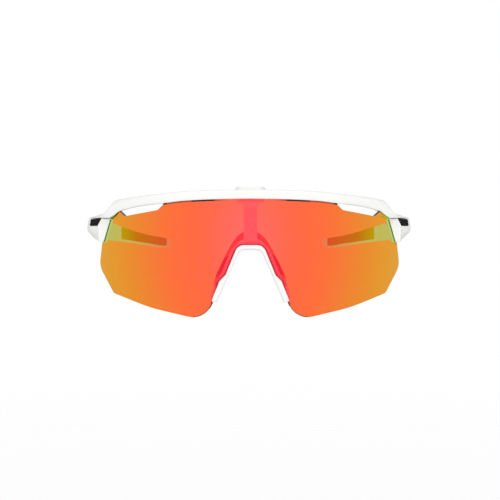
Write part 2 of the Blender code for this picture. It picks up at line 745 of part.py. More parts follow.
def make_hinge_hardware(word, side, materials, parts, cutters):
    """Screw, threaded insert and washer of one hinge."""
    axis = (HINGE_X * side, HINGE_Y)
    insert_low = HOOD_UNDERSIDE_Z + HAIR_GAP
    insert_high = insert_low + INSERT_HEIGHT
    insert_bore = SHANK_RADIUS + FIT_GAP
    turned(
        "hinge_insert_" + word,
        [
            (INSERT_RADIUS, insert_high),
            (INSERT_RADIUS, insert_low),
            (insert_bore, insert_low),
            (insert_bore, insert_high),
        ],
        axis, parts, materials["brass"], closed=True
    )
    washer_high = HOOD_UNDERSIDE_Z - FIT_GAP
    washer_low = washer_high - WASHER_THICKNESS
    washer_bore = BORE_RADIUS + FIT_GAP
    turned(
        "hinge_washer_" + word,
        [
            (WASHER_RADIUS, washer_high),
            (WASHER_RADIUS, washer_low),
            (washer_bore, washer_low),
            (washer_bore, washer_high),
        ],
        axis, parts, materials["nylon"], closed=True
    )
    head_low = EAR_LOW_Z - FIT_GAP
    head_high = head_low + HEAD_HEIGHT
    shank_high = insert_high - FIT_GAP
    screw = turned(
        "hinge_screw_" + word,
        [
            (0.0, shank_high),
            (SHANK_RADIUS - SHANK_CHAMFER, shank_high),
            (SHANK_RADIUS, shank_high - SHANK_CHAMFER),
            (SHANK_RADIUS, head_high),
            (HEAD_RADIUS, head_high),
            (HEAD_RADIUS, head_low + HEAD_CHAMFER),
            (HEAD_RADIUS - HEAD_CHAMFER, head_low),
            (0.0, head_low),
        ],
        axis, parts, materials["steel"]
    )
    slot = box("drive_slot_" + word, DRIVE_SLOT, (axis[0], axis[1], head_low), cutters)
    boolean(screw, slot, "DIFFERENCE")


def build():
    """Build every piece of the sunglasses."""
    clear_scene()
    parts = make_collection("sport_sunglasses")
    cutters = make_collection("cutters")
    materials = {
        "white": make_material("gloss_white_nylon", (0.90, 0.90, 0.88), 0.25),
        "lens": make_material("mirror_coated_lens", (0.95, 0.22, 0.08), 0.05, 0.6, 0.6),
        "rubber": make_material("dark_grip_rubber", (0.03, 0.03, 0.03), 0.75),
        "pad": make_material("dark_pad_rubber", (0.04, 0.04, 0.045), 0.7),
        "black": make_material("satin_black_nylon", (0.012, 0.012, 0.012), 0.4),
        "steel": make_material("hinge_steel", (0.62, 0.62, 0.60), 0.3, 1.0),
        "brass": make_material("insert_brass", (0.80, 0.60, 0.28), 0.35, 1.0),
        "nylon": make_material("washer_nylon", (0.02, 0.02, 0.02), 0.5),
    }
    make_lens(parts, cutters, materials["lens"])
    make_brow(parts, cutters, materials["white"])
    make_bridge(parts, cutters, materials["white"])
    make_pad(parts, materials["pad"])
    for side, word in ((1, "left"), (-1, "right")):
        make_temple(word, side, materials, parts, cutters)
        make_hinge_hardware(word, side, materials, parts, cutters)


build()
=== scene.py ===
"""Looks of the wraparound sport sunglasses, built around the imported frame.

Lengths are millimetres in the frame's own axes: +Z up, the front faces -Y, +X is the
wearer's left. place() turns them into metres.
"""
import cmath
import math

import bmesh
import bpy
import numpy as np
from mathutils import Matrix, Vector
from mathutils.geometry import delaunay_2d_cdt


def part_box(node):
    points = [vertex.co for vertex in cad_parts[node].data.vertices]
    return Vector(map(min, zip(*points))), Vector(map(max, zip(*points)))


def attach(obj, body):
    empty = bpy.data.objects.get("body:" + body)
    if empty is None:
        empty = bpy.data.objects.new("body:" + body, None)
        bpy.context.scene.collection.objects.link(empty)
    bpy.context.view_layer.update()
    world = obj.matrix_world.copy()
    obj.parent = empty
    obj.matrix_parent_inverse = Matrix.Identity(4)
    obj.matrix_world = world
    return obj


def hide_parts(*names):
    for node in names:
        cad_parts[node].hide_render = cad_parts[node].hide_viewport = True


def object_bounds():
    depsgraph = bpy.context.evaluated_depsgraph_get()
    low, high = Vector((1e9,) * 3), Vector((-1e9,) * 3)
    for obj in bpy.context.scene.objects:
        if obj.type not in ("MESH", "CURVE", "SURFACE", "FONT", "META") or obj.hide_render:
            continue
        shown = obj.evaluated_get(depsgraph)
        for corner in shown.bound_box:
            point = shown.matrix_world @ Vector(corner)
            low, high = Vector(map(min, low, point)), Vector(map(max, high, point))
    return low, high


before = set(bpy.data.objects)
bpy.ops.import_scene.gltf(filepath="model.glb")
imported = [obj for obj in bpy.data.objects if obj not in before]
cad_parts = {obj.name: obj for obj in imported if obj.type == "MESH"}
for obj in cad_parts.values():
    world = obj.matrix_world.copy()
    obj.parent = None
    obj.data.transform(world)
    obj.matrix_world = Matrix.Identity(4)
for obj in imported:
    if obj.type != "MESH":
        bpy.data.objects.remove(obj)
cad_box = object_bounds()

MM = 0.001
SIDES = ((1, "left"), (-1, "right"))
TURN_STEPS = 40
FILLET_STEPS = 3
FILLET_SHARE = 0.46
TURN_ANGLES = [2 * math.pi * step / TURN_STEPS for step in range(TURN_STEPS)]


def cad(node):
    """Lowest and highest corner of a CAD node, in millimetres."""
    low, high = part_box(node)
    return np.array(low) / MM, np.array(high) / MM


LENS_LOW, LENS_HIGH = cad("shield_lens")
BROW_TOP = cad("brow_frame")[1][2]
BRIDGE_TOP = cad("nose_bridge")[1][2]
SCREW_LOW, SCREW_HIGH = cad("hinge_screw_left")
WASHER_LOW, WASHER_HIGH = cad("hinge_washer_left")
INSERT_LOW, INSERT_HIGH = cad("hinge_insert_left")

HINGE_X = (SCREW_LOW[0] + SCREW_HIGH[0]) / 2
HINGE_Y = (SCREW_LOW[1] + SCREW_HIGH[1]) / 2

# The lens is a toric shell about an upright line. Its mesh has a grid inside the outline.
LENS_RADIUS = 86.0
LENS_VERTICAL_RADIUS = 150.0
LENS_EQUATOR_Z = 6.0
LENS_THICKNESS = 2.0
LENS_CENTRE_Y = LENS_LOW[1] + LENS_RADIUS
EDGE_ROUND = 0.22
OUTLINE_STEP = 1.2
GRID = 2.4
GRID_X = (-70.0, 70.0)
GRID_Z = (-32.0, 26.0)
GRID_MARGIN = 1.1
# Zones left out of the grid at the hinges, nose and lower corners, and the denser grids
# there, half: (low x, high x, low z, high z).
EMPTY_ZONES = [(55.0, 99.0, 1.0, 99.0), (-1.0, 22.5, -23.0, 7.0), (-1.0, 28.0, -99.0, -22.0)]
DENSE_ZONES = [(56.0, 67.0, 2.0, 19.0), (0.6, 22.0, -22.5, 6.5), (14.5, 27.0, -30.0, -22.9)]
DENSE_GRID = 0.6
DENSE_MARGIN = 0.5

# Front outline of the lens, half, from the top centre to the notch top: (x, z, corner radius).
LENS_OUTLINE = [
    (0.0, 24.0, 0.0),
    (20.0, 23.9, 60.0),
    (37.6, 22.5, 0.4),
    (38.2, 19.7, 0.8),
    (40.6, 17.5, 1.5),
    (55.5, 15.0, 0.9),
    (59.3, 18.4, 0.5),
    (62.3, 15.0, 0.4),
    (62.45, 13.9, 0.3),
    (65.6, 3.9, 0.25),
    (66.3, 3.35, 0.35),
    (67.7, -7.2, 9.0),
    (60.9, -19.3, 2.5),
    (44.0, -25.4, 60.0),
    (19.5, -30.8, 9.0),
    (16.0, -21.6, 1.0),
    (13.9, -13.9, 1.5),
    (11.0, -10.9, 1.5),
    (5.6, 2.1, 4.2),
    (0.0, 2.1, 0.0),
]

# Brow, half: x, low z, high z, height share of the crease, top inset.
BROW_DEPTH = 5.6
BROW_PROUD = 1.3
HOOD_Z = 14.4
BROW_PROFILE = [
    (0.0, 22.1, 26.1, 0.82, 1.0),
    (13.0, 21.9, 26.0, 0.82, 1.0),
    (22.0, 21.65, 25.8, 0.82, 1.0),
    (30.5, 21.2, 25.4, 0.82, 1.0),
    (38.0, 20.35, 24.7, 0.81, 1.1),
    (46.7, 19.6, 23.9, 0.76, 1.3),
    (52.4, 18.65, 23.35, 0.70, 1.5),
    (57.2, 17.5, 22.8, 0.65, 1.8),
    (58.6, 17.05, 22.55, 0.64, 1.9),
    (60.6, 15.5, 22.1, 0.64, 2.0),
    (62.6, 14.4, 21.2, 0.66, 2.0),
]
# Hood: outer x and y, inner x and y, outer high z, inner high z, crease share, top inset.
HOOD_STATIONS = [
    (65.1, 26.0, 59.9, 30.0, 18.3, 19.4, 0.55, 2.0),
    (66.9, 29.5, 59.6, 33.5, 16.8, 17.9, 0.48, 2.2),
    (69.6, 36.0, 60.6, 38.0, 16.3, 17.2, 0.45, 2.4),
    (71.8, 42.5, 62.2, 43.0, 15.8, 16.5, 0.42, 2.2),
    (74.0, 49.0, 66.6, 48.0, 15.2, 15.6, 0.42, 1.2),
]
# Lens groove under the brow: from and to x, and how deep.
GROOVES = [(-1.0, 38.3, 2.4), (56.4, 62.9, 2.5)]
NO_GROOVE = 0.01
GROOVE_STEP = 0.02
BROW_RINGS = 90

# Temple: y, inner x above, inner x below, outer x, low z, high z, outer top and bottom insets.
TEMPLE_STATIONS = [
    (30.2, 62.5, 65.6, 68.3, 3.8, 14.2, 1.8, 0.3),
    (35.0, 62.4, 65.2, 70.3, 3.9, 14.2, 1.3, 1.7),
    (42.0, 62.3, 63.0, 72.9, 4.3, 14.2, 0.5, 3.4),
    (52.0, 67.2, 67.6, 74.9, 4.8, 14.1, 0.5, 4.2),
    (60.0, 69.8, 69.9, 75.2, 5.0, 13.9, 0.8, 3.2),
    (82.0, 69.9, 69.9, 73.7, 5.2, 13.2, 0.9, 1.6),
    (105.0, 64.1, 64.1, 67.7, 4.6, 12.1, 0.6, 0.9),
    (113.0, 61.3, 61.3, 64.8, 4.2, 11.2, 0.5, 0.8),
    (122.0, 58.1, 58.1, 61.6, 3.7, 10.0, 0.5, 0.6),
    (137.0, 50.6, 50.6, 54.2, 2.5, 7.8, 0.4, 0.5),
    (151.8, 40.5, 40.5, 44.2, 1.5, 5.6, 0.4, 0.5),
    (153.9, 39.7, 39.7, 41.9, 2.0, 5.1, 0.4, 0.5),
]
BELLY_SHARE = 0.42
SHOULDER_SHARE = 0.72
PLATE_Y = (30.8, 42.4)
PLATE_LOW_Z = 11.1
PLATE_POCKET = 1.45
GRIP_Y = (108.6, 148.8)
GRIP_MARGIN = 1.1
GRIP_POCKET = 1.25
GAP = 0.25

# Nose pad cage, half: front inner, front outer, back outer, back inner corners as (x, z).
PAD_STATIONS = [
    ((0.0, 0.6), (0.0, 3.6), (0.0, 9.8), (0.0, 6.5)),
    ((2.6, 0.5), (3.8, 3.6), (4.5, 9.4), (2.8, 5.8)),
    ((5.0, -1.2), (7.4, 1.3), (7.9, 5.3), (4.9, 3.1)),
    ((6.8, -4.2), (9.9, -2.6), (11.0, -0.6), (7.7, -1.6)),
    ((9.2, -9.4), (12.3, -8.0), (13.8, -6.6), (11.0, -8.2)),
    ((11.4, -14.4), (14.2, -13.3), (16.1, -12.5), (13.7, -13.9)),
    ((12.5, -16.9), (15.0, -16.2), (17.3, -16.3), (14.8, -17.0)),
]
PAD_FRONT = 5.8
PAD_DEPTH = 6.5


# ---------------------------------------------------------------- shape tools

def section_radius(z):
    """Radius of the lens front face about its upright line, at height z."""
    rise = z - LENS_EQUATOR_Z
    return LENS_RADIUS - LENS_VERTICAL_RADIUS + math.sqrt(LENS_VERTICAL_RADIUS ** 2 - rise ** 2)


def lens_y(x, z):
    """Y of the lens front face at x, z."""
    return LENS_CENTRE_Y - math.sqrt(section_radius(z) ** 2 - x * x)


def lens_point(x, z, depth=0.0):
    """Point of the lens front face at x, z, moved into the lens by depth, and the face's normal."""
    y = lens_y(x, z)
    rise = z - LENS_EQUATOR_Z
    slope = rise / math.sqrt(LENS_VERTICAL_RADIUS ** 2 - rise ** 2)
    radius = section_radius(z)
    normal = Vector((x / radius, (y - LENS_CENTRE_Y) / radius, slope)).normalized()
    return Vector((x, y, z)) - normal * depth, normal


def rounded(corners, turn_step):
    """Round an open chain of (x, z, radius) corners, in steps of at most turn_step degrees."""
    points = [Vector(corners[0][:2])]
    for before, corner, after in zip(corners, corners[1:], corners[2:]):
        centre = Vector(corner[:2])
        inward = (Vector(before[:2]) - centre).normalized()
        outward = (Vector(after[:2]) - centre).normalized()
        half_angle = inward.angle(outward) / 2
        if corner[2] <= 0.0 or half_angle > math.radians(89.9):
            points.append(centre)
            continue
        reach = corner[2] / math.tan(half_angle)
        pivot = centre + (inward + outward).normalized() * corner[2] / math.sin(half_angle)
        start = centre + inward * reach - pivot
        end = centre + outward * reach - pivot
        turn = start.angle_signed(end)
        steps = max(2, math.ceil(math.degrees(abs(turn)) / turn_step))
        for index in range(steps + 1):
            spoke = complex(*start) * cmath.rect(1.0, -turn * index / steps)
            points.append(pivot + Vector((spoke.real, spoke.imag)))
    points.append(Vector(corners[-1][:2]))
    return points


def curve(corners, longest, turn_step=5.0):
    """Array of 2-D points along a rounded chain, none further apart than longest."""
    points = rounded(corners, turn_step)
    chain = [points[0]]
    for near, far in zip(points, points[1:]):
        pieces = max(1, math.ceil((far - near).length / longest))
        chain += [near.lerp(far, index / pieces) for index in range(1, pieces + 1)]
    return np.array([tuple(point) for point in chain])


def spline(knots, values, at):
    """Smooth curve through values at the knots, read at one place."""
    knots = np.asarray(knots, float)
    values = np.asarray(values, float)
    slopes = np.gradient(values, knots, axis=0)
    index = int(np.clip(np.searchsorted(knots, at) - 1, 0, len(knots) - 2))
    span = knots[index + 1] - knots[index]
    t = float(np.clip((at - knots[index]) / span, 0.0, 1.0))
    a = 2 * t ** 3 - 3 * t ** 2 + 1
    b = t ** 3 - 2 * t ** 2 + t
    c = -2 * t ** 3 + 3 * t ** 2
    d = t ** 3 - t ** 2
    return (
        a * values[index] + b * span * slopes[index]
        + c * values[index + 1] + d * span * slopes[index + 1]
    )


def filleted(corners, radii):
    """Round the corners of a closed 3-D ring; every corner gives FILLET_STEPS + 1 points."""
    ring = []
    corners = [np.asarray(corner, float) for corner in corners]
    for index, radius in enumerate(radii):
        corner = corners[index]
        ends = []
        for other in (corners[index - 1], corners[(index + 1) % len(corners)]):
            edge = other - corner
            length = max(np.linalg.norm(edge), 1e-9)
            ends.append(corner + edge / length * min(radius, FILLET_SHARE * length))
        for step in range(FILLET_STEPS + 1):
            t = step / FILLET_STEPS
            ring.append((1 - t) ** 2 * ends[0] + 2 * t * (1 - t) * corner + t * t * ends[1])
    return ring


def shrunk(ring, inset, shift):
    """A ring moved by shift, with each point pulled in towards the middle by inset."""
    points = np.asarray(ring)
    middle = points.mean(0)
    offsets = points - middle
    lengths = np.linalg.norm(offsets, axis=1, keepdims=True)
    share = 1 - inset / np.maximum(lengths, inset * 1.5)
    return list(middle + offsets * share + np.asarray(shift))


def place(name, points, faces, material, sharp=35.0):
    """Link a mesh of points in millimetres, shaded smooth up to an angle."""
    mesh = bpy.data.meshes.new(name)
    work = bmesh.new()
    verts = [work.verts.new(Vector(point) * MM) for point in points]
    for face in faces:
        work.faces.new([verts[index] for index in face])
    bmesh.ops.recalc_face_normals(work, faces=work.faces)
    work.to_mesh(mesh)
    work.free()
    mesh.shade_smooth()
    mesh.set_sharp_from_angle(angle=math.radians(sharp))
    mesh.materials.append(material)
    piece = bpy.data.objects.new(name, mesh)
    bpy.context.scene.collection.objects.link(piece)
    return piece


def even_shading(piece):
    """Weigh the shading towards the broad faces, so that flats look flat."""
    weigh = piece.modifiers.new("broad_faces", "WEIGHTED_NORMAL")
    weigh.keep_sharp = True
    weigh.weight = 90


def fit(piece, body, node=None):
    """Put a finished piece on its body, in place of its CAD node."""
    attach(piece, body)
    if node:
        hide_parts(node)


def skin(name, rings, material, sharp=35.0, closed=False):
    """Skin rings of equal length, with flat end caps or closed from the last to the first."""
    count = len(rings[0])
    points = [point for ring in rings for point in ring]
    faces = []
    for row in range(len(rings) if closed else len(rings) - 1):
        near = row * count
        far = (row + 1) % len(rings) * count
        for index in range(count):
            following = (index + 1) % count
            faces.append((near + index, near + following, far + following, far + index))
    if not closed:
        last = len(points) - count
        faces.append(tuple(range(count)))
        faces.append(tuple(last + index for index in range(count)))
    return place(name, points, faces, material, sharp)


def mirrored_rings(rings):
    """Rings of the whole width, from the left half's rings, which start at x = 0."""
    flipped = []
    for ring in reversed(rings[1:]):
        flipped.append([np.array((-point[0], point[1], point[2])) for point in ring])
    return flipped + rings


def combine(piece, other, operation, sharp=35.0):
    """Join or cut a piece with another mesh, which is used up."""
    modifier = piece.modifiers.new("combine", "BOOLEAN")
    modifier.operation = operation
    modifier.solver = "EXACT"
    modifier.object = other
    depsgraph = bpy.context.evaluated_depsgraph_get()
    mesh = bpy.data.meshes.new_from_object(piece.evaluated_get(depsgraph))
    piece.modifiers.clear()
    piece.data = mesh
    bpy.data.objects.remove(other, do_unlink=True)
    work = bmesh.new()
    work.from_mesh(mesh)
    bmesh.ops.remove_doubles(work, verts=work.verts, dist=2e-6)
    work.to_mesh(mesh)
    work.free()
    mesh.shade_smooth()
    mesh.set_sharp_from_angle(angle=math.radians(sharp))


def spoke_end(centre, radius, z, angle):
    """Point round an upright line."""
    x, y = centre
    return np.array((x + radius * math.cos(angle), y + radius * math.sin(angle), z))


def turned(name, profile, centre, material):
    """Solid turned about an upright line from (radius, z) points, low to high."""
    rings = [[spoke_end(centre, *row, angle) for angle in TURN_ANGLES] for row in profile]
    return skin(name, rings, material)


def tube(name, profile, centre, material):
    """Tube turned about an upright line from a closed (radius, z) profile."""
    rings = [[spoke_end(centre, *row, angle) for row in profile] for angle in TURN_ANGLES]
    return skin(name, rings, material, closed=True)


def block(name, low, high, radius, material, turn=0.0):
    """Box between two corners, with rounded upright edges, turned about its own middle."""
    low = np.asarray(low, float)
    high = np.asarray(high, float)
    middle = (low + high) / 2
    half = (high - low) / 2
    cosine = math.cos(turn)
    sine = math.sin(turn)
    corners = []
    for x_sign, y_sign in ((-1, -1), (1, -1), (1, 1), (-1, 1)):
        x = x_sign * half[0]
        y = y_sign * half[1]
        corners.append((middle[0] + x * cosine - y * sine, middle[1] + x * sine + y * cosine))
    rings = []
    for z in (low[2], high[2]):
        rings.append(filleted([(x, y, z) for x, y in corners], [radius] * 4))
    return skin(name, rings, material)


# -------------------------------------------------------------- colours, light

HAZE_GRAIN = 90.0
NYLON_GRAIN = (60.0, 300.0)
NYLON_BUMP = (0.05, 0.02, 1800.0)
WHITE = ((0.855, 0.853, 0.835), (0.875, 0.873, 0.858))
CLIP_SHADE = (0.45, 0.45, 0.43)
# Painted light: glow of white nylon behind the lens, for light through the coating, before the
# lens's own tint.
WHITE_GLOW_BEHIND = (0.12, 4.2, 4.0)
WHITE_GLOW_BEHIND_FAR = (0.3, 1.6, 2.0)
# Painted light on the nose bridge behind the lens: a blue-lit copy of its white, and a glow at the
# strut's top.
BRIDGE_LIT_BEHIND = ((0.5, 0.54, 0.96), (0.52, 0.56, 0.98))
STRUT_GLOW = (0.0, 0.32, 0.6)
# Ranges in millimetres over which those colours change.
TEMPLE_GLOW_Y = (110.0, 150.0)
LUG_GLOW_Z = (11.7, 11.8)
GRIP_GLOW_Y = (109.0, 126.0)
STRUT_GLOW_Z = (17.5, 20.5)
CLIP_SHADE_X = (3.8, 6.2)
CLIP_SHADE_SHARE = (0.1, 0.6)
# Y of the direction to the viewer at which the painted light behind the lens begins and is full.
FRONT_VIEW = (-0.82, -0.92)
LENS_SHADOW = (0.97, 0.96, 0.95)
MIRROR_SHARE = 0.7

# Light of the white room: on matt faces, its change towards the front and top, in mirrors.
ROOM_LIGHT = 0.755
FRONT_LIGHT = 0.15
TOP_LIGHT = -0.05
GLOSS_LIGHT = 1.45
GLOSS_LIGHT_BEHIND = 0.35
LAMP_POWER = 1.75

# Mirror and tint of the coating by how far the surface is turned from the viewer.
MIRROR_COLOURS = [
    (0.0, (1.03, 0.036, 0.058)),
    (0.012, (0.98, 0.038, 0.034)),
    (0.03, (0.9, 0.042, 0.022)),
    (0.06, (0.8, 0.055, 0.016)),
    (0.104, (0.70, 0.082, 0.018)),
    (0.166, (0.61, 0.132, 0.011)),
    (0.205, (0.575, 0.162, 0.006)),
    (0.245, (0.53, 0.192, 0.003)),
    (0.336, (0.487, 0.256, 0.002)),
    (0.383, (0.475, 0.268, 0.002)),
    (0.45, (0.475, 0.29, 0.01)),
    (0.65, (0.5, 0.42, 0.05)),
    (1.0, (0.8, 0.8, 0.5)),
]
TINT_COLOURS = [
    (0.0, (0.30, 0.114, 0.07)),
    (0.03, (0.28, 0.102, 0.045)),
    (0.104, (0.29, 0.082, 0.028)),
    (0.205, (0.30, 0.075, 0.028)),
    (0.336, (0.30, 0.055, 0.025)),
    (1.0, (0.15, 0.05, 0.02)),
]

# Painted shade and light in bands along the lens edge, by distance in millimetres: (distance,
# colour, cover).
BAND_REACH = 3.0
# Hinge notch: a painted shadow of the gap, then a painted light-green strip for the lit block seen
# in the lens.
NOTCH_SHADE_AND_LIGHT = [
    (0.0, (0.08, 0.14, 0.006), 1.0),
    (0.78, (0.10, 0.16, 0.008), 1.0),
    (0.98, (0.42, 0.60, 0.14), 1.0),
    (1.65, (0.46, 0.56, 0.19), 1.0),
    (2.0, (0.46, 0.5, 0.15), 0.0),
]
# Tooth: painted light of the brow seen through the lens, then a painted shadow line.
TOOTH_SHADE_AND_LIGHT = [
    (0.0, (0.34, 0.46, 0.015), 1.0),
    (0.42, (0.34, 0.46, 0.015), 1.0),
    (0.56, (0.015, 0.015, 0.01), 1.0),
    (0.92, (0.015, 0.015, 0.01), 1.0),
    (1.1, (0.05, 0.03, 0.01), 0.0),
]
# Painted shadow line under the brow, dark also along the lens's lower inner edge by the nose.
LIP_SHADOW_BANDS = [
    (0.0, (0.012, 0.010, 0.012), 1.0),
    (0.58, (0.012, 0.010, 0.012), 1.0),
    (0.78, (0.3, 0.01, 0.01), 0.0),
]
# Nose notch: painted dark shade at the rim, and painted shade over the bridge's arms and pad seen
# through the lens.
ARCH_SHADE_BANDS = [
    (0.0, (0.60, 0.002, 0.015), 0.95),
    (0.75, (0.60, 0.002, 0.015), 0.95),
    (1.05, (0.80, 0.05, 0.085), 0.6),
    (2.0, (0.80, 0.05, 0.085), 0.6),
    (2.35, (0.72, 0.004, 0.028), 0.75),
    (3.0, (0.72, 0.004, 0.028), 0.75),
]
# Outer limit of the painted shade of the nose bridge and pad seen through the lens, half: (z, x).
WING_LIMIT = [
    (-21.0, 17.4), (-17.0, 16.7), (-16.5, 16.1), (-14.0, 15.7), (-10.1, 14.7),
    (-6.2, 12.8), (-2.3, 10.8), (1.7, 7.9), (2.1, 7.0),
]
# Strength of the painted shadow line under the brow: (x, strength), half.
LIP_REACH = 50.0
LIP_SHADOW_STRENGTH = [
    (8.0, 0.0), (15.0, 0.6), (16.0, 1.0), (25.0, 1.0), (26.0, 0.55),
    (36.0, 0.5), (36.6, 1.0), (38.5, 1.0), (39.0, 0.0),
]


# ------------------------------------------------------------------ materials

class Graph:
    """Node tree of a material or world, with a short call for each kind of node."""

    def __init__(self, tree, output="ShaderNodeOutputMaterial"):
        self.tree = tree
        tree.nodes.clear()
        self.surface = self.add(output).inputs["Surface"]

    def feed(self, target, value):
        """Link a socket into an input, or set the input's plain value or colour."""
        if isinstance(value, bpy.types.NodeSocket):
            self.tree.links.new(value, target)
        elif target.type == "RGBA":
            target.default_value = (*value, 1.0)
        else:
            target.default_value = value

    def add(self, kind, inputs=None):
        """New node, with its inputs fed by name."""
        node = self.tree.nodes.new(kind)
        for name, value in (inputs or {}).items():
            self.feed(node.inputs[name], value)
        return node

    def finish(self, shader):
        """Show a shader on the surface."""
        self.feed(self.surface, shader)

    def calculate(self, operation, *values):
        """Result of a maths node."""
        node = self.add("ShaderNodeMath")
        node.operation = operation
        for target, value in zip(node.inputs, values):
            self.feed(target, value)
        return node.outputs["Value"]

    def spread(self, value, start, end, low=0.0, high=1.0):
        """Value mapped from start..end to low..high and held there."""
        node = self.add("ShaderNodeMapRange", {
            "Value": value, "From Min": start, "From Max": end, "To Min": low, "To Max": high,
        })
        return node.outputs["Result"]

    def mix(self, share, first, second):
        """Mix of two shaders."""
        node = self.add("ShaderNodeMixShader")
        for target, value in zip(node.inputs, (share, first, second)):
            self.feed(target, value)
        return node.outputs[0]

    def blend(self, share, first, second):
        """Mix of two colours."""
        node = self.add("ShaderNodeMix")
        node.data_type = "RGBA"
        for index, value in ((0, share), (6, first), (7, second)):
            self.feed(node.inputs[index], value)
        return node.outputs[2]

    def coordinate(self, axis, space="Object"):
        """Coordinate along an axis; in object space it is in metres."""
        where = self.add("ShaderNodeTexCoord").outputs[space]
        return self.add("ShaderNodeSeparateXYZ", {"Vector": where}).outputs[axis]

    def place_between(self, axis, start, end):
        """Place along an axis: 0 at start and 1 at end, both in millimetres."""
        return self.spread(self.coordinate(axis), start * MM, end * MM)

    def attribute(self, name):
        """Value stored on the mesh."""
        node = self.add("ShaderNodeAttribute")
        node.attribute_name = name
        return node.outputs["Fac"]

    def ramp(self, source, stops):
        """Colour read from (position, colour) stops."""
        node = self.add("ShaderNodeValToRGB", {"Fac": source})
        elements = node.color_ramp.elements
        while len(elements) < len(stops):
            elements.new(1.0)
        for element, (position, colour) in zip(elements, stops):
            element.position = position
            element.color = (*colour, 1.0)
        return node.outputs["Color"]

    def noise(self, scale, detail=3.0):
        """Noise value in object space."""
        where = self.add("ShaderNodeTexCoord").outputs["Object"]
        inputs = {"Vector": where, "Scale": scale, "Detail": detail}
        return self.add("ShaderNodeTexNoise", inputs).outputs["Fac"]

    def haze(self, low, high, scale=HAZE_GRAIN):
        """Roughness that drifts between two values."""
        return self.spread(self.noise(scale), 0.0, 1.0, low, high)

    def surface_shader(self, colours, roughness, grain, bump, metallic=0.0):
        """Principled shader with a noisy colour, roughness and fine bump.

        grain holds the noise scales of colour and roughness; bump holds its strength,
        its height in millimetres and its noise scale.
        """
        relief = self.add("ShaderNodeBump", {
            "Strength": bump[0],
            "Distance": bump[1] * MM,
            "Height": self.noise(bump[2], 4.0),
        })
        return self.add("ShaderNodeBsdfPrincipled", {
            "Metallic": metallic,
            "Base Color": self.ramp(self.noise(grain[0]), [(0.3, colours[0]), (0.7, colours[1])]),
            "Roughness": self.haze(*roughness, grain[1]),
            "Normal": relief.outputs["Normal"],
        })


def new_material(name):
    """Empty node material and its graph."""
    material = bpy.data.materials.new(name)
    material.use_nodes = True
    return material, Graph(material.node_tree)


def passed_lens(graph):
    """1 for a view ray from the front that has passed the lens, 0 for every other ray."""
    path = graph.add("ShaderNodeLightPath")
    passed = graph.calculate("GREATER_THAN", path.outputs["Transparent Depth"], 0.5)
    seen = graph.calculate("MULTIPLY", passed, path.outputs["Is Camera Ray"])
    incoming = graph.add("ShaderNodeNewGeometry").outputs["Incoming"]
    heading = graph.add("ShaderNodeSeparateXYZ", {"Vector": incoming}).outputs["Y"]
    return graph.calculate("MULTIPLY", seen, graph.spread(heading, *FRONT_VIEW))


def glow_through_lens(graph, shader, axis, ends, near_colour, far_colour):
    """Paint a glow on a part behind the lens, for the light that reaches it through the coating.

    A view ray that has passed the lens sees the painted glow, from near_colour to
    far_colour between two ends along an axis; every other ray sees the plain shader.
    """
    along = graph.place_between(axis, *ends)
    # Painted light: an emission colour that no lamp gives.
    tint = graph.add("ShaderNodeEmission", {"Color": graph.blend(along, near_colour, far_colour)})
    graph.finish(graph.mix(passed_lens(graph), shader.outputs[0], tint.outputs[0]))


def shade_clip(graph, shader):
    """Shade the clip that stands proud of the brow's top, more so at its ends."""
    across = graph.calculate("ABSOLUTE", graph.coordinate("X"))
    start, end = CLIP_SHADE_X
    ends = graph.spread(across, start * MM, end * MM, *CLIP_SHADE_SHARE)
    above = graph.place_between("Z", BROW_TOP, BROW_TOP + 0.2)
    share = graph.calculate("MULTIPLY", ends, above)
    base = shader.inputs["Base Color"]
    graph.feed(base, graph.blend(share, base.links[0].from_socket, CLIP_SHADE))


def white_nylon(name):
    """Gloss white moulded nylon with a faint flow texture."""
    material, graph = new_material(name)
    shader = graph.surface_shader(WHITE, (0.28, 0.4), NYLON_GRAIN, NYLON_BUMP)
    shader.inputs["Specular IOR Level"].default_value = 0.25
    graph.finish(shader.outputs[0])
    return material, graph, shader


def brow_white():
    """White of the brow."""
    return white_nylon("gloss_white_nylon")[0]


def bridge_white():
    """White of the nose bridge, with painted shade on its clip; behind the lens a painted blue-lit
    copy that glows at the strut's top.
    """
    material, graph, shader = white_nylon("gloss_white_nylon_bridge")
    shade_clip(graph, shader)
    # Painted light: the copy seen through the lens, with its glow.
    behind = graph.surface_shader(BRIDGE_LIT_BEHIND, (0.4, 0.5), NYLON_GRAIN, NYLON_BUMP)
    graph.feed(behind.inputs["Emission Color"], STRUT_GLOW)
    graph.feed(behind.inputs["Emission Strength"], graph.place_between("Z", *STRUT_GLOW_Z))
    graph.finish(graph.mix(passed_lens(graph), shader.outputs[0], behind.outputs[0]))
    return material


def temple_white():
    """White of the temples, with a painted glow behind the lens that fades backwards."""
    material, graph, shader = white_nylon("gloss_white_nylon_temple")
    glow_through_lens(graph, shader, "Y", TEMPLE_GLOW_Y, WHITE_GLOW_BEHIND, WHITE_GLOW_BEHIND_FAR)
    return material


def lug_white():
    """White of the hinge lugs, with a painted glow behind the lens, white above its edge."""
    material, graph, shader = white_nylon("gloss_white_nylon_lug")
    glow_through_lens(graph, shader, "Z", LUG_GLOW_Z, WHITE_GLOW_BEHIND, (1.0, 1.0, 1.0))
    return material


def dark_moulding(name, colours, roughness, bump, shine=0.06):
    """Black nylon or rubber with a fine grain."""
    material, graph = new_material(name)
    shader = graph.surface_shader(colours, roughness, (120.0, 500.0), bump)
    shader.inputs["Specular IOR Level"].default_value = shine
    graph.finish(shader.outputs[0])
    return material, graph, shader


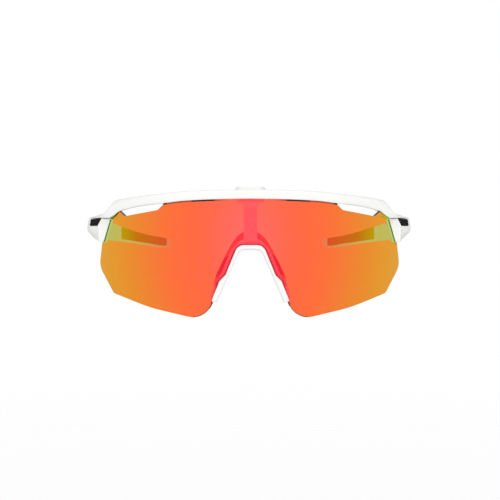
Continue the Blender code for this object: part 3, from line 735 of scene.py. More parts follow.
def grip_rubber():
    """Rubber of the grips, with a painted green glow where their front ends show through the lens.
    """
    colours = ((0.016, 0.016, 0.017), (0.026, 0.026, 0.027))
    material, graph, shader = dark_moulding("grip_rubber", colours, (0.6, 0.8), (0.3, 0.05, 700.0))
    glow_through_lens(graph, shader, "Y", GRIP_GLOW_Y, (0.0, 1.5, 0.0), (0.0, 0.0, 0.0))
    return material


def pad_rubber():
    """Soft rubber of the nose pad."""
    colours = ((0.02, 0.02, 0.021), (0.03, 0.03, 0.031))
    return dark_moulding("pad_rubber", colours, (0.5, 0.7), (0.2, 0.05, 500.0))[0]


def satin_black():
    """Satin nylon of the temple plates."""
    colours = ((0.006,) * 3, (0.01,) * 3)
    return dark_moulding("satin_black_nylon", colours, (0.45, 0.6), (0.15, 0.03, 1200.0), 0.01)[0]


def washer_nylon():
    """Nylon of the friction washers."""
    colours = ((0.018,) * 3, (0.024,) * 3)
    return dark_moulding("washer_nylon", colours, (0.4, 0.5), (0.1, 0.03, 900.0))[0]


def metal(name, colours, roughness):
    """Turned metal with fine rings of tool marks."""
    material, graph = new_material(name)
    shader = graph.surface_shader(colours, roughness, (900.0, 1500.0), (0.2, 0.02, 2500.0), 1.0)
    graph.finish(shader.outputs[0])
    return material


def turned_steel():
    """Steel of the hinge screws."""
    return metal("turned_steel", ((0.56, 0.56, 0.55), (0.66, 0.66, 0.64)), (0.22, 0.38))


def knurled_brass():
    """Brass of the threaded inserts."""
    return metal("knurled_brass", ((0.72, 0.52, 0.22), (0.82, 0.62, 0.30)), (0.28, 0.42))


def facing_value(graph):
    """1 - cosine of the angle between the view ray and the surface normal."""
    geometry = graph.add("ShaderNodeNewGeometry")
    product = graph.add("ShaderNodeVectorMath")
    product.operation = "DOT_PRODUCT"
    graph.feed(product.inputs[0], geometry.outputs["Incoming"])
    graph.feed(product.inputs[1], geometry.outputs["Normal"])
    cosine = graph.calculate("ABSOLUTE", product.outputs["Value"])
    return graph.calculate("SUBTRACT", 1.0, cosine)


def painted_bands(graph, shader, attribute, bands, strength=None):
    """Cover a shader with bands of painted shade and light read from a distance attribute of the
    mesh.
    """
    scaled = graph.calculate("DIVIDE", graph.attribute(attribute), BAND_REACH)
    colours = [(distance / BAND_REACH, colour) for distance, colour, _ in bands]
    covers = [(distance / BAND_REACH, (cover,) * 3) for distance, _, cover in bands]
    paint = graph.add("ShaderNodeBsdfPrincipled", {
        "Roughness": 0.4, "Specular IOR Level": 0.1, "Base Color": graph.ramp(scaled, colours),
    })
    cover = graph.ramp(scaled, covers)
    if strength is not None:
        cover = graph.calculate("MULTIPLY", cover, strength)
    return graph.mix(cover, shader, paint.outputs[0])


def lets_light_through(graph, shader):
    """Finish a lens material: light falling through the lens is only dimmed."""
    path = graph.add("ShaderNodeLightPath")
    falling = graph.calculate(
        "MAXIMUM", path.outputs["Is Shadow Ray"], path.outputs["Is Diffuse Ray"]
    )
    dimmed = graph.add("ShaderNodeBsdfTransparent", {"Color": LENS_SHADOW})
    graph.finish(graph.mix(falling, shader, dimmed.outputs[0]))


def brightened(stops, share):
    """Colour stops divided by the share of the light that they get, and held at 1."""
    return [
        (position, tuple(min(1.0, part / share) for part in colour)) for position, colour in stops
    ]


def coated_lens():
    """Front face: a mirror whose hue turns from pink-red to yellow, over an orange tint, with bands
    of painted shade and light.
    """
    material, graph = new_material("mirror_coating")
    turned_away = facing_value(graph)
    reflected = brightened(MIRROR_COLOURS, MIRROR_SHARE * GLOSS_LIGHT)
    mirror = graph.add("ShaderNodeBsdfPrincipled", {
        "Metallic": 1.0,
        "Roughness": graph.haze(0.04, 0.09),
        "Base Color": graph.ramp(turned_away, reflected),
    })
    passing = brightened(TINT_COLOURS, 1 - MIRROR_SHARE)
    clear = graph.add("ShaderNodeBsdfTransparent", {"Color": graph.ramp(turned_away, passing)})
    shader = graph.mix(MIRROR_SHARE, clear.outputs[0], mirror.outputs[0])
    sideways = graph.calculate("ABSOLUTE", graph.coordinate("X"))
    across = graph.spread(sideways, 0.0, LIP_REACH * MM)
    lip = graph.ramp(across, [(x / LIP_REACH, (value,) * 3) for x, value in LIP_SHADOW_STRENGTH])
    inner = graph.spread(graph.attribute("wing_distance"), -0.1, 0.2)
    shader = painted_bands(graph, shader, "arch_distance", ARCH_SHADE_BANDS, inner)
    shader = painted_bands(graph, shader, "lip_distance", LIP_SHADOW_BANDS, lip)
    shader = painted_bands(graph, shader, "tooth_distance", TOOTH_SHADE_AND_LIGHT)
    shader = painted_bands(graph, shader, "notch_distance", NOTCH_SHADE_AND_LIGHT)
    lets_light_through(graph, shader)
    return material


def lens_back():
    """Inner face: clear tinted polycarbonate with a faint shine, seen only from behind."""
    material, graph = new_material("lens_inner_face")
    shine = graph.add("ShaderNodeBsdfPrincipled", {
        "Base Color": (0.16, 0.05, 0.03), "Roughness": graph.haze(0.05, 0.12), "Coat Weight": 0.5,
    })
    clear = graph.add("ShaderNodeBsdfTransparent")
    from_inside = graph.add("ShaderNodeNewGeometry").outputs["Backfacing"]
    share = graph.spread(from_inside, 0.0, 1.0, 0.35, 0.0)
    lets_light_through(graph, graph.mix(share, clear.outputs[0], shine.outputs[0]))
    return material


def plain_edge(name, colour, share):
    """Cut edge of the lens: share of it is solid colour, the rest is clear."""
    material, graph = new_material(name)
    shader = graph.surface_shader((colour, colour), (0.4, 0.55), (200.0, 300.0), (0.1, 0.02, 900.0))
    shader.inputs["Specular IOR Level"].default_value = 0.05
    clear = graph.add("ShaderNodeBsdfTransparent")
    lets_light_through(graph, graph.mix(share, clear.outputs[0], shader.outputs[0]))
    return material


# ----------------------------------------------------------------------- lens

# Lens materials by slot, in the order that they are added.
COATING, BACK, DARK, SHADED, LIT, CLEAR, SHADED_RED = range(7)
# Lines that the bands are measured from, half: the notch's side and the tooth's slope.
NOTCH_LINE = ((62.5, 13.9), (65.65, 3.9))
TOOTH_LINE = ((58.8, 17.2), (62.2, 14.2))
# On the wearer's left side the tooth's bands are wider, and end at this distance.
TOOTH_SCALE = 0.36
TOOTH_END = 1.15
# Wing of the bridge seen through the lens, and the lens's lower inner edge.
WING_SLOPE = 0.92
WING_NARROW = 2.1
WING_NARROW_Z = -2.0
WING_RIM = 1.0
LOW_EDGE_X = (10.0, 25.0)
LOW_EDGE_Z = -22.4
LOW_EDGE_START = 0.3
# Where the cut edge is in the hinge notch and where it is in the nose notch, half.
HINGE_EDGE_X = 58.0
HINGE_EDGE_Z = (3.0, 15.2)
NOSE_EDGE_X = 20.0
NOSE_EDGE_Z = -22.2


def segment_distance(points, start, end):
    """Distance of 2-D points from a segment; past BAND_REACH for points off its ends."""
    start = np.asarray(start, float)
    along = np.asarray(end, float) - start
    length = np.linalg.norm(along)
    along /= length
    offset = points - start
    reach = offset @ along
    across = np.abs(offset @ np.array((-along[1], along[0])))
    past = np.maximum(0.0, np.maximum(-reach, reach - length))
    return np.minimum(across + 4.0 * past, 2 * BAND_REACH)


def chain_distance(points, chain):
    """Distance of 2-D points from the nearest point of a chain."""
    return np.min(np.linalg.norm(points[:, None, :] - chain[None, :, :], axis=2), axis=1)


def inside(points, polygon):
    """Which 2-D points lie inside a closed polygon."""
    result = np.zeros(len(points), bool)
    x = points[:, 0]
    z = points[:, 1]
    for (ax, az), (bx, bz) in zip(polygon, np.roll(polygon, -1, axis=0)):
        crosses = (az > z) != (bz > z)
        with np.errstate(divide="ignore", invalid="ignore"):
            reach = (bx - ax) * (z - az) / (bz - az) + ax
        result ^= crosses & (x < reach)
    return result


def inset_outline(outline, distance):
    """Closed outline moved inwards by distance, and its outward directions."""
    before = np.roll(outline, 1, axis=0)
    after = np.roll(outline, -1, axis=0)
    tangent = after - before
    tangent /= np.linalg.norm(tangent, axis=1, keepdims=True)
    normal = np.stack([-tangent[:, 1], tangent[:, 0]], axis=1)
    probe = inside(outline + normal * 0.02, outline)
    if probe.sum() < len(outline) / 2:
        normal = -normal
    return outline + normal * distance, -normal


def lens_outline():
    """Half of the lens's front outline, and the whole closed outline."""
    half = curve(LENS_OUTLINE, OUTLINE_STEP, 8.0)
    half[:, 0] *= LENS_HIGH[0] / half[:, 0].max()
    other = half[1:-1][::-1] * np.array([-1.0, 1.0])
    return half, np.concatenate([half, other])


def lens_grid(outline):
    """Points inside the outline, closer together in the dense zones."""
    coarse = np.array([(x, z) for x in np.arange(*GRID_X, GRID) for z in np.arange(*GRID_Z, GRID)])
    coarse = coarse[inside(coarse, inset_outline(outline, GRID_MARGIN)[0])]
    dense = np.array([
        (x * side, z)
        for low_x, high_x, low_z, high_z in DENSE_ZONES
        for side, _ in SIDES
        for x in np.arange(low_x, high_x, DENSE_GRID)
        for z in np.arange(low_z, high_z, DENSE_GRID)
    ])
    dense = dense[inside(dense, inset_outline(outline, DENSE_MARGIN)[0])]
    x = np.abs(coarse[:, 0])
    z = coarse[:, 1]
    for low_x, high_x, low_z, high_z in EMPTY_ZONES:
        kept = (x <= low_x) | (x >= high_x) | (z <= low_z) | (z >= high_z)
        coarse, x, z = coarse[kept], x[kept], z[kept]
    return np.concatenate([coarse, dense])


def edge_directions(outline, outward):
    """Direction of the lens's edge at each point of the outline, square to the front face."""
    directions = []
    count = len(outline)
    for index in range(count):
        near = lens_point(*outline[index - 1])[0]
        far = lens_point(*outline[(index + 1) % count])[0]
        normal = lens_point(*outline[index])[1]
        direction = (far - near).cross(normal).normalized()
        if direction.x * outward[index][0] + direction.z * outward[index][1] < 0:
            direction = -direction
        directions.append(direction)
    return directions


def edge_slot(row, x, z, direction):
    """Material slot of an edge face, by its row from the front and its place."""
    if row == 0:
        return COATING
    # Edge in the hinge notch: painted shade near the front, painted light behind it.
    if abs(x) > HINGE_EDGE_X and HINGE_EDGE_Z[0] < z < HINGE_EDGE_Z[1] and direction.x * x > 0:
        return SHADED if row < 3 else LIT
    # Edge by the nose: a painted dark red shade of the arch behind.
    if abs(x) < NOSE_EDGE_X and z > NOSE_EDGE_Z:
        return SHADED_RED
    return DARK if direction.y < -0.05 else CLEAR


def lens_mesh_data(outline):
    """Points, normals, faces and material slots of the lens."""
    inner, outward = inset_outline(outline, EDGE_ROUND)
    directions = edge_directions(outline, outward)
    count = len(outline)
    seeds = [Vector(tuple(point)) for point in np.concatenate([inner, lens_grid(outline)])]
    edges = [(index, (index + 1) % count) for index in range(count)]
    flat, _, triangles, *_ = delaunay_2d_cdt(seeds, edges, [], 1, 1e-5)
    points = []
    normals = []

    def add(spot, depth, lean, direction=Vector()):
        """Add a point; its normal leans from the front, 1, over the edge, 0, to the back, -1."""
        point, normal = lens_point(*spot, depth)
        points.append(point)
        normals.append((normal * lean + direction * (1 - abs(lean))).normalized())
        return len(points) - 1

    front = [add(spot, 0.0, 1.0) for spot in flat]
    back = [add(spot, LENS_THICKNESS, -1.0) for spot in flat]
    faces = []
    slots = []
    for triangle in triangles:
        faces.append([front[index] for index in triangle])
        faces.append([back[index] for index in reversed(triangle)])
        slots += [COATING, BACK]

    # The first count points of flat are the inner outline, in order.
    bevel = 0.3 * EDGE_ROUND
    corner = inner + outward * (EDGE_ROUND - bevel)
    rows = [front[:count]]
    for ring, depth, lean in (
        (corner, bevel, 0.5),
        (outline, EDGE_ROUND, 0.0),
        (outline, LENS_THICKNESS / 2, 0.0),
        (outline, LENS_THICKNESS - EDGE_ROUND, 0.0),
        (corner, LENS_THICKNESS - bevel, -0.5),
    ):
        rows.append([add(ring[index], depth, lean, directions[index]) for index in range(count)])
    rows.append(back[:count])
    for row, (near, far) in enumerate(zip(rows, rows[1:])):
        for index in range(count):
            following = (index + 1) % count
            faces.append([near[index], near[following], far[following], far[index]])
            slots.append(edge_slot(row, *outline[index], directions[index]))
    return points, normals, faces, slots


def wing_distance(folded, arch_distance):
    """Distance inwards from the outer limit of the bridge's bands, negative outside it.

    Above WING_NARROW_Z the bands are narrow; the rim next to the notch is always inside.
    """
    z = folded[:, 1]
    limit_z, limit_x = zip(*WING_LIMIT)
    past = np.maximum(0.0, np.maximum(z - limit_z[-1], limit_z[0] - z))
    wing = (np.interp(z, limit_z, limit_x) - folded[:, 0]) * WING_SLOPE - 3.0 * past
    narrow = WING_NARROW - arch_distance + np.maximum(0.0, WING_NARROW_Z - z)
    return np.maximum(np.minimum(wing, narrow), WING_RIM - arch_distance)


def lip_distance(folded, half):
    """Distance from the brow's lower edge and from the lens's lower inner edge."""
    xs, lows, *_ = zip(*BROW_PROFILE)
    below_brow = np.interp(folded[:, 0], xs, lows) - folded[:, 1]
    x, z = half.T
    low_edge = half[(x > LOW_EDGE_X[0]) & (x < LOW_EDGE_X[1]) & (z < LOW_EDGE_Z)]
    return np.minimum(below_brow, LOW_EDGE_START + chain_distance(folded, low_edge))


def lens_distances(points, half):
    """Distances in millimetres that place the bands of painted shade and light, by attribute name.
    """
    seen = np.array([(point.x, point.z) for point in points])
    folded = np.abs(seen) * (1.0, 0.0) + seen * (0.0, 1.0)
    tooth = segment_distance(folded, *TOOTH_LINE)
    wide = np.where(tooth > TOOTH_END, 2 * BAND_REACH, TOOTH_SCALE * tooth)
    arch = chain_distance(folded, curve(ARCH_NOTCH, 0.5))
    return {
        "notch_distance": segment_distance(folded, *NOTCH_LINE),
        "tooth_distance": np.where(seen[:, 0] > 0, wide, tooth),
        "lip_distance": lip_distance(folded, half),
        "arch_distance": arch,
        "wing_distance": wing_distance(folded, arch),
    }


def make_lens():
    """Shield lens: coated front, tinted back and square-cut edges that follow the curve."""
    half, outline = lens_outline()
    points, normals, faces, slots = lens_mesh_data(outline)
    mesh = bpy.data.meshes.new("shield_lens_glazing")
    mesh.from_pydata([tuple(point * MM) for point in points], [], faces)
    for material in (
        coated_lens(),
        lens_back(),
        plain_edge("lens_edge_dark", (0.03, 0.03, 0.04), 0.9),
        # The shaded and lit edges are painted shade and painted light; the red edge is painted
        # shade.
        plain_edge("lens_edge_shaded", (0.02, 0.05, 0.0), 0.9),
        plain_edge("lens_edge_lit", (0.5, 0.9, 0.3), 0.9),
        plain_edge("lens_edge_clear", (0.9, 0.5, 0.2), 0.15),
        plain_edge("lens_edge_red_shade", (0.5, 0.012, 0.03), 0.95),
    ):
        mesh.materials.append(material)
    mesh.polygons.foreach_set("material_index", slots)
    mesh.validate()
    mesh.shade_smooth()
    mesh.normals_split_custom_set_from_vertices([tuple(normal) for normal in normals])
    for name, values in lens_distances(points, half).items():
        attribute = mesh.attributes.new(name, "FLOAT", "POINT")
        attribute.data.foreach_set("value", values.astype(np.float32))
    lens = bpy.data.objects.new("shield_lens_glazing", mesh)
    bpy.context.scene.collection.objects.link(lens)
    fit(lens, "front", "shield_lens")


# ----------------------------------------------------------------------- brow

def brow_stations():
    """Brow values from the centre line to the hood's back end, with a knot for each.

    A station holds outer x and y, inner x and y, outer low and high z, inner low and
    high z, crease share and top inset.
    """
    rows = []
    xs, lows, highs, _, _ = zip(*BROW_PROFILE)
    for x, low, high, crease, inset in BROW_PROFILE:
        front = section_radius((low + high) / 2) + BROW_PROUD
        back = front - BROW_DEPTH
        sine = x / front
        cosine = math.sqrt(1 - sine * sine)
        inner_x = back * sine
        rows.append([
            x, LENS_CENTRE_Y - front * cosine, inner_x, LENS_CENTRE_Y - back * cosine,
            low, high, np.interp(inner_x, xs, lows), np.interp(inner_x, xs, highs), crease, inset,
        ])
    for outer_x, outer_y, inner_x, inner_y, z_outer, z_inner, crease, inset in HOOD_STATIONS:
        rows.append([
            outer_x, outer_y, inner_x, inner_y,
            HOOD_Z, z_outer, HOOD_Z, z_inner, crease, inset,
        ])
    values = np.array(rows)
    steps = np.linalg.norm(np.diff(values[:, :2], axis=0), axis=1)
    knots = np.concatenate([[0.0], np.cumsum(steps)])
    return knots, values


def brow_ring(values, groove):
    """Rounded section of the brow, with the lens groove of the given depth below it."""
    outer = np.array((values[0], values[1], 0.0))
    inner = np.array((values[2], values[3], 0.0))
    low, high, inner_low, inner_high, crease, inset = values[4:]
    width = np.linalg.norm(inner - outer)
    across = (inner - outer) / width
    rise = high - low
    front_wall = min(0.95, 0.3 * width)
    back_wall = min(3.7, 0.7 * width)
    front_floor, back_floor = (
        low + (inner_low - low) * reach / width for reach in (front_wall, back_wall)
    )
    section = [
        (0.35, low, 0.35),
        (0.0, low + 0.2 * rise, 1.0),
        (0.12, low + crease * rise, 0.9),
        (inset, high, 0.9),
        (width - 0.8, inner_high, 0.9),
        (width, inner_high - 0.25 * rise, 0.9),
        (width, inner_low, 0.5),
        (back_wall, back_floor, 0.1),
        (back_wall, back_floor + groove, 0.1),
        (front_wall, front_floor + groove, 0.1),
        (front_wall, front_floor, 0.1),
    ]
    corners = [outer + across * reach + np.array((0.0, 0.0, z)) for reach, z, _ in section]
    return filleted(corners, [radius for _, _, radius in section])


def make_brow():
    """Brow bar with its two hoods and the groove that holds the lens."""
    material = brow_white()
    knots, values = brow_stations()
    places = list(np.linspace(0.0, knots[-1], BROW_RINGS))
    xs = [spline(knots, values[:, 0], s) for s in places]
    marks = [
        float(np.interp(edge, xs, places)) for groove in GROOVES for edge in groove[:2] if edge > 0
    ]
    for mark in marks:
        places += [mark - GROOVE_STEP, mark + GROOVE_STEP]
    places.sort()
    rings = []
    for s in places:
        row = spline(knots, values, s)
        groove = NO_GROOVE
        for start, end, depth in GROOVES:
            if start < row[0] < end:
                groove = depth
        rings.append(brow_ring(row, groove))
    end = rings[-1]
    rings.append(shrunk(end, 0.15, (0.05, 0.35, 0.0)))
    rings.append(shrunk(end, 0.5, (0.1, 0.55, 0.0)))
    brow = skin("brow_bar", mirrored_rings(rings), material, 40.0)
    profile = [(2.0, HOOD_Z - 1.0), (2.0, INSERT_HIGH[2] + 0.1)]
    for side, _ in SIDES:
        seat = turned("insert_seat", profile, (HINGE_X * side, HINGE_Y), material)
        combine(brow, seat, "DIFFERENCE", 40.0)
    even_shading(brow)
    fit(brow, "front", "brow_frame")


# Ear of the lug, below the knuckle, and the web that carries it.
EAR_Z = (4.7, 6.9)
EAR_RADIUS = 3.2
LUG_WEB = (61.0, 33.0)
LUG_WEB_HALF = (1.1, 2.7)
EAR_ARM_Y = 33.2
EAR_ARM_HALF = 1.8
BORE_RADIUS = 1.15
SINK_RADIUS = 2.05
SINK_DEPTH = 1.1


def ear_arm(name, side, low_z, high_z, extra, half_width, radius, material):
    """Block from the hinge's axis to the lug's web, longer at both ends by extra."""
    across = Vector((LUG_WEB[0] - HINGE_X, EAR_ARM_Y - HINGE_Y))
    turn = math.atan2(across.y, across.x * side)
    middle = ((HINGE_X + LUG_WEB[0]) / 2 * side, (HINGE_Y + EAR_ARM_Y) / 2)
    half = (across.length / 2 + extra, half_width)
    low = (middle[0] - half[0], middle[1] - half[1], low_z)
    high = (middle[0] + half[0], middle[1] + half[1], high_z)
    return block(name, low, high, radius, material, turn)


def make_lug(word, side):
    """Hinge lug under the hood: a web behind the lens edge, and an ear below the knuckle."""
    material = lug_white()
    centre = (HINGE_X * side, HINGE_Y)
    x = LUG_WEB[0] * side
    y = LUG_WEB[1]
    half_x, half_y = LUG_WEB_HALF
    low, high = EAR_Z
    lug = block(
        "hinge_lug_" + word, (x - half_x, y - half_y, low),
        (x + half_x, y + half_y, HOOD_Z + 0.6), 0.6, material,
    )
    arm = ear_arm("arm", side, low + 0.01, high, 0.0, EAR_ARM_HALF, 0.1, material)
    combine(lug, arm, "UNION")
    profile = [
        (EAR_RADIUS - 0.25, low),
        (EAR_RADIUS, low + 0.25),
        (EAR_RADIUS, high - 0.25),
        (EAR_RADIUS - 0.25, high + 0.01),
    ]
    combine(lug, turned("ear", profile, centre, material), "UNION")
    for name, radius, top in (("bore", BORE_RADIUS, 8.0), ("sink", SINK_RADIUS, low + SINK_DEPTH)):
        cutter = turned(name, [(radius, 4.0), (radius, top)], centre, material)
        combine(lug, cutter, "DIFFERENCE")
    even_shading(lug)
    fit(lug, "front")


# ---------------------------------------------------------------- nose bridge

# Half curves of the bridge in front view: (x, z, corner radius). The arms run down from the arch.
ARM_DIRECTION = Vector((0.22, -1.0)).normalized()
ARM_START = 4.0
ARM_LENGTH = 21.0
ARCH_INNER = [(0.0, 0.0, 0.0), (4.6, 0.0, 3.4), (14.8, -23.5, 0.0)]
ARCH_NOTCH = [
    (0.0, 1.8, 0.0),
    (5.4, 1.8, 4.2),
    (10.7, -11.1, 1.2),
    (13.6, -14.1, 1.2),
    (16.15, -23.0, 0.0),
]
ARCH_OUTER = [
    (0.0, 4.4, 0.0),
    (4.3, 4.4, 3.0),
    (8.3, 0.6, 3.0),
    (16.7, -20.4, 0.0),
    (17.2, -23.0, 0.0),
]
ARCH_BACK = 5.4
ARCH_PROUD = -0.5
FOOT_LIP_REACH = (13.0, 19.5)
FOOT_LIP = (0.06, 0.8)
FOOT_LIP_BACK = -0.18
# Strut behind the lens: z, half width, front and back y.
STRUT_STATIONS = [
    (2.6, 4.1, 0.05, 2.5),
    (4.4, 3.1, 0.1, 2.5),
    (6.0, 2.9, 0.1, 2.5),
    (12.0, 2.9, 0.2, 2.6),
    (17.6, 2.9, 0.6, 3.2),
    (18.8, 3.1, 0.8, 3.6),
    (19.9, 3.9, 1.0, 4.4),
    (21.0, 6.0, 1.3, 5.2),
    (21.6, 6.2, 3.5, 5.6),
    (BRIDGE_TOP - 0.4, 6.2, 3.5, 5.6),
]
CLIP_Y = (-0.15, 5.85)
# Clip over the brow: x and how far its top drops there.
CLIP_STATIONS = [(-6.45, 0.75), (-6.1, 0.25), (-5.4, 0.0), (5.4, 0.0), (6.1, 0.25), (6.45, 0.75)]


def along_arch(corners, share, reach):
    """Point of a half curve: by share of its arch, or by reach down the arm past it."""
    chain = curve(corners, 0.4)
    down = chain @ np.array(ARM_DIRECTION)
    steps = np.linalg.norm(np.diff(chain, axis=0), axis=1)
    lengths = np.concatenate([[0.0], np.cumsum(steps)])
    if share < 1.0:
        at = share * float(np.interp(ARM_START, down, lengths))
    else:
        at = float(np.interp(ARM_START + reach, down, lengths))
    return np.array([np.interp(at, lengths, chain[:, 0]), np.interp(at, lengths, chain[:, 1])])


def arch_ring(share, reach):
    """Section of the bridge: a step in front, the lens's groove and a deep back."""
    inner, notch, outer = (
        along_arch(corners, share, reach) for corners in (ARCH_INNER, ARCH_NOTCH, ARCH_OUTER)
    )
    across = notch - inner
    step = inner + across * 0.28
    lip = notch + across / np.linalg.norm(across) * np.interp(reach, FOOT_LIP_REACH, FOOT_LIP)
    groove_back = LENS_THICKNESS + 0.3
    section = [
        (inner, 0.35, 0.3),
        (step, ARCH_PROUD, 0.35),
        (lip, ARCH_PROUD, 0.26),
        (lip, FOOT_LIP_BACK, 0.02),
        (notch, FOOT_LIP_BACK, 0.02),
        (notch, groove_back, 0.1),
        (outer, groove_back, 0.6),
        (outer, ARCH_BACK, 0.6),
        (inner, ARCH_BACK, 0.7),
    ]
    corners = [np.array((x, lens_y(x, z) + depth, z)) for (x, z), depth, _ in section]
    return filleted(corners, [radius for _, _, radius in section])


def make_arch(material):
    """Stepped arch round the lens's notch, with its two arms."""
    rings = [arch_ring(index / 16, 0.0) for index in range(16)]
    rings += [arch_ring(1.0, reach) for reach in np.linspace(0.0, ARM_LENGTH, 42)]
    slide = np.array((ARM_DIRECTION[0], 0.0, ARM_DIRECTION[1]))
    rings.append(shrunk(rings[-1], 0.35, slide * 0.35))
    return skin("nose_bridge_moulding", mirrored_rings(rings), material, 40.0)


def make_strut(material):
    """Strut up the lens's back."""
    rings = []
    heights, *columns = zip(*STRUT_STATIONS)
    for z in np.linspace(heights[0], heights[-1], 50):
        half_width, front, back = (float(np.interp(z, heights, column)) for column in columns)
        corners = [
            (-half_width, front, z), (half_width, front, z),
            (half_width, back, z), (-half_width, back, z),
        ]
        rings.append(filleted(corners, [0.5] * 4))
    return skin("strut", rings, material)


def make_clip(material):
    """Clip over the brow's top."""
    low = BROW_TOP - 0.08
    front, back = CLIP_Y
    rings = []
    for x, drop in CLIP_STATIONS:
        top = BRIDGE_TOP - drop
        corners = [(x, front, low), (x, back, low), (x, back, top), (x, front, top)]
        rings.append(filleted(corners, [0.2, 0.2, 0.5, 0.5]))
    return skin("clip", rings, material)


def make_bridge():
    """Nose bridge: one moulding of arch, strut and clip."""
    material = bridge_white()
    bridge = make_arch(material)
    combine(bridge, make_strut(material), "UNION", 40.0)
    combine(bridge, make_clip(material), "UNION", 40.0)
    even_shading(bridge)
    fit(bridge, "front", "nose_bridge")


def make_pad():
    """Soft saddle behind the nose bridge."""
    depths = (PAD_FRONT, PAD_FRONT, PAD_FRONT + PAD_DEPTH, PAD_FRONT + PAD_DEPTH)
    rings = [
        [np.array((x, lens_y(x, z) + depth, z)) for (x, z), depth in zip(station, depths)]
        for station in PAD_STATIONS
    ]
    pad = skin("nose_pad_saddle", mirrored_rings(rings), pad_rubber(), 80.0)
    soft = pad.modifiers.new("soft", "SUBSURF")
    soft.levels = 3
    soft.render_levels = 3
    fit(pad, "front", "nose_pad")


# -------------------------------------------------------------------- temples

KNUCKLE_RADIUS = 3.3
KNUCKLE_Z = (EAR_Z[1] + 0.3, WASHER_LOW[2] - 0.1)
EAR_ROOM_RADIUS = 3.7
ARM_ROOM_HALF = 2.3
WASHER_ROOM_RADIUS = 3.2
# Heights well below and above the knuckle, where cuts start and end in the open.
BELOW_Z = 2.0
ABOVE_Z = 16.0
TEMPLE_FRONT_Y = 30.2
TEMPLE_RINGS_Y = (31.2, 152.0, 1.5)
TEMPLE_TIP_Y = 152.8
RIB_HEIGHT = 0.2
RIB_PITCH = 2.2
RIB_FADE = 3.0


def temple_values(y):
    """Temple station values at y, without y itself."""
    return spline([row[0] for row in TEMPLE_STATIONS], TEMPLE_STATIONS, y)[1:]


def temple_ring(y, side, plate=0.0, grip=0.0):
    """Section of a temple, with the plate's pocket outside and the grip's pocket inside."""
    inner_top, inner_low, outer, z_low, z_high, top_inset, low_inset = temple_values(y)
    height = z_high - z_low
    belly = z_low + BELLY_SHARE * height
    shoulder = z_low + SHOULDER_SHARE * height
    shelf = max(PLATE_LOW_Z - GAP, belly + 0.3) if y < 60 else shoulder - 0.1
    grip_low = z_low + GRIP_MARGIN - GAP
    grip_high = z_high - 0.05 - 0.3 * height

    def outside(z, depth):
        x = np.interp(z, [shoulder, z_high], [outer, outer - top_inset])
        return x - depth, z

    def within(z, depth):
        x = np.interp(z, [z_low, z_high], [inner_low, inner_top])
        return x + depth, z

    profile = [
        (inner_low + 0.4, z_low, 0.5),
        (outer - low_inset, z_low, 0.8),
        (outer, belly, 1.2),
        (*outside(shelf, 0.0), 0.15),
        (*outside(shelf, plate), 0.1),
        (*outside(z_high, plate), 0.3),
        (*within(z_high, grip), 0.4),
        (*within(grip_high, grip), 0.1),
        (*within(grip_low, grip), 0.1),
        (*within(grip_low, 0.0), 0.15),
    ]
    corners = [(x * side, y, z) for x, z, _ in profile]
    return filleted(corners, [row[2] for row in profile])


def plate_ring(y, side):
    """Section of the dark plate let into the outer face of the temple."""
    _, _, outer, z_low, z_high, top_inset, _ = temple_values(y)
    shoulder = z_low + SHOULDER_SHARE * (z_high - z_low)
    top_x = outer - top_inset
    corners = [
        (outer - 1.2, PLATE_LOW_Z), (outer + 0.05, PLATE_LOW_Z), (outer + 0.05, shoulder + 0.3),
        (top_x + 0.1, z_high - 0.05), (top_x - 1.2, z_high - 0.05),
    ]
    return filleted([(x * side, y, z) for x, z in corners], [0.1, 0.25, 0.6, 0.25, 0.1])


def grip_ring(y, side, rib):
    """Section of the rubber grip on the inner face of the temple."""
    inner_top, inner_low, _, z_low, z_high, _, _ = temple_values(y)
    low = z_low + GRIP_MARGIN
    top = z_high - 0.1
    corners = [
        (inner_low + 1.0, low), (inner_top + 1.0, top),
        (inner_top - 0.25 - rib, top), (inner_low - 0.25 - rib, low),
    ]
    return filleted([(x * side, y, z) for x, z in corners], [0.1, 0.2, 0.5, 0.5])


def temple_shell(word, side, material):
    """Temple from hinge block to tip, with the pockets for plate and grip."""
    plate_low, plate_high, grip_low, grip_high = (
        y + shift for ends in (PLATE_Y, GRIP_Y) for y, shift in zip(ends, (-GAP, GAP))
    )
    ys = list(np.arange(*TEMPLE_RINGS_Y))
    for edge in (plate_low, plate_high, grip_low, grip_high):
        ys += [edge - 0.01, edge + 0.01]
    first = temple_ring(TEMPLE_FRONT_Y, side)
    rings = [
        shrunk(first, 0.3, (0.0, 0.0, 0.0)),
        shrunk(first, 0.08, (0.0, 0.1, 0.0)),
        [point + np.array((0.0, 0.5, 0.0)) for point in first],
    ]
    for y in sorted(ys):
        plate = PLATE_POCKET if plate_low < y < plate_high else 0.0
        grip = GRIP_POCKET if grip_low < y < grip_high else 0.0
        rings.append(temple_ring(y, side, plate, grip))
    tip = temple_ring(TEMPLE_TIP_Y, side)
    rings.append(tip)
    rings.append(shrunk(tip, 0.5, (-0.3 * side, 0.7, 0.0)))
    rings.append(shrunk(tip, 1.1, (-0.5 * side, 1.05, 0.0)))
    return skin("temple_shell_" + word, rings, material, 40.0)


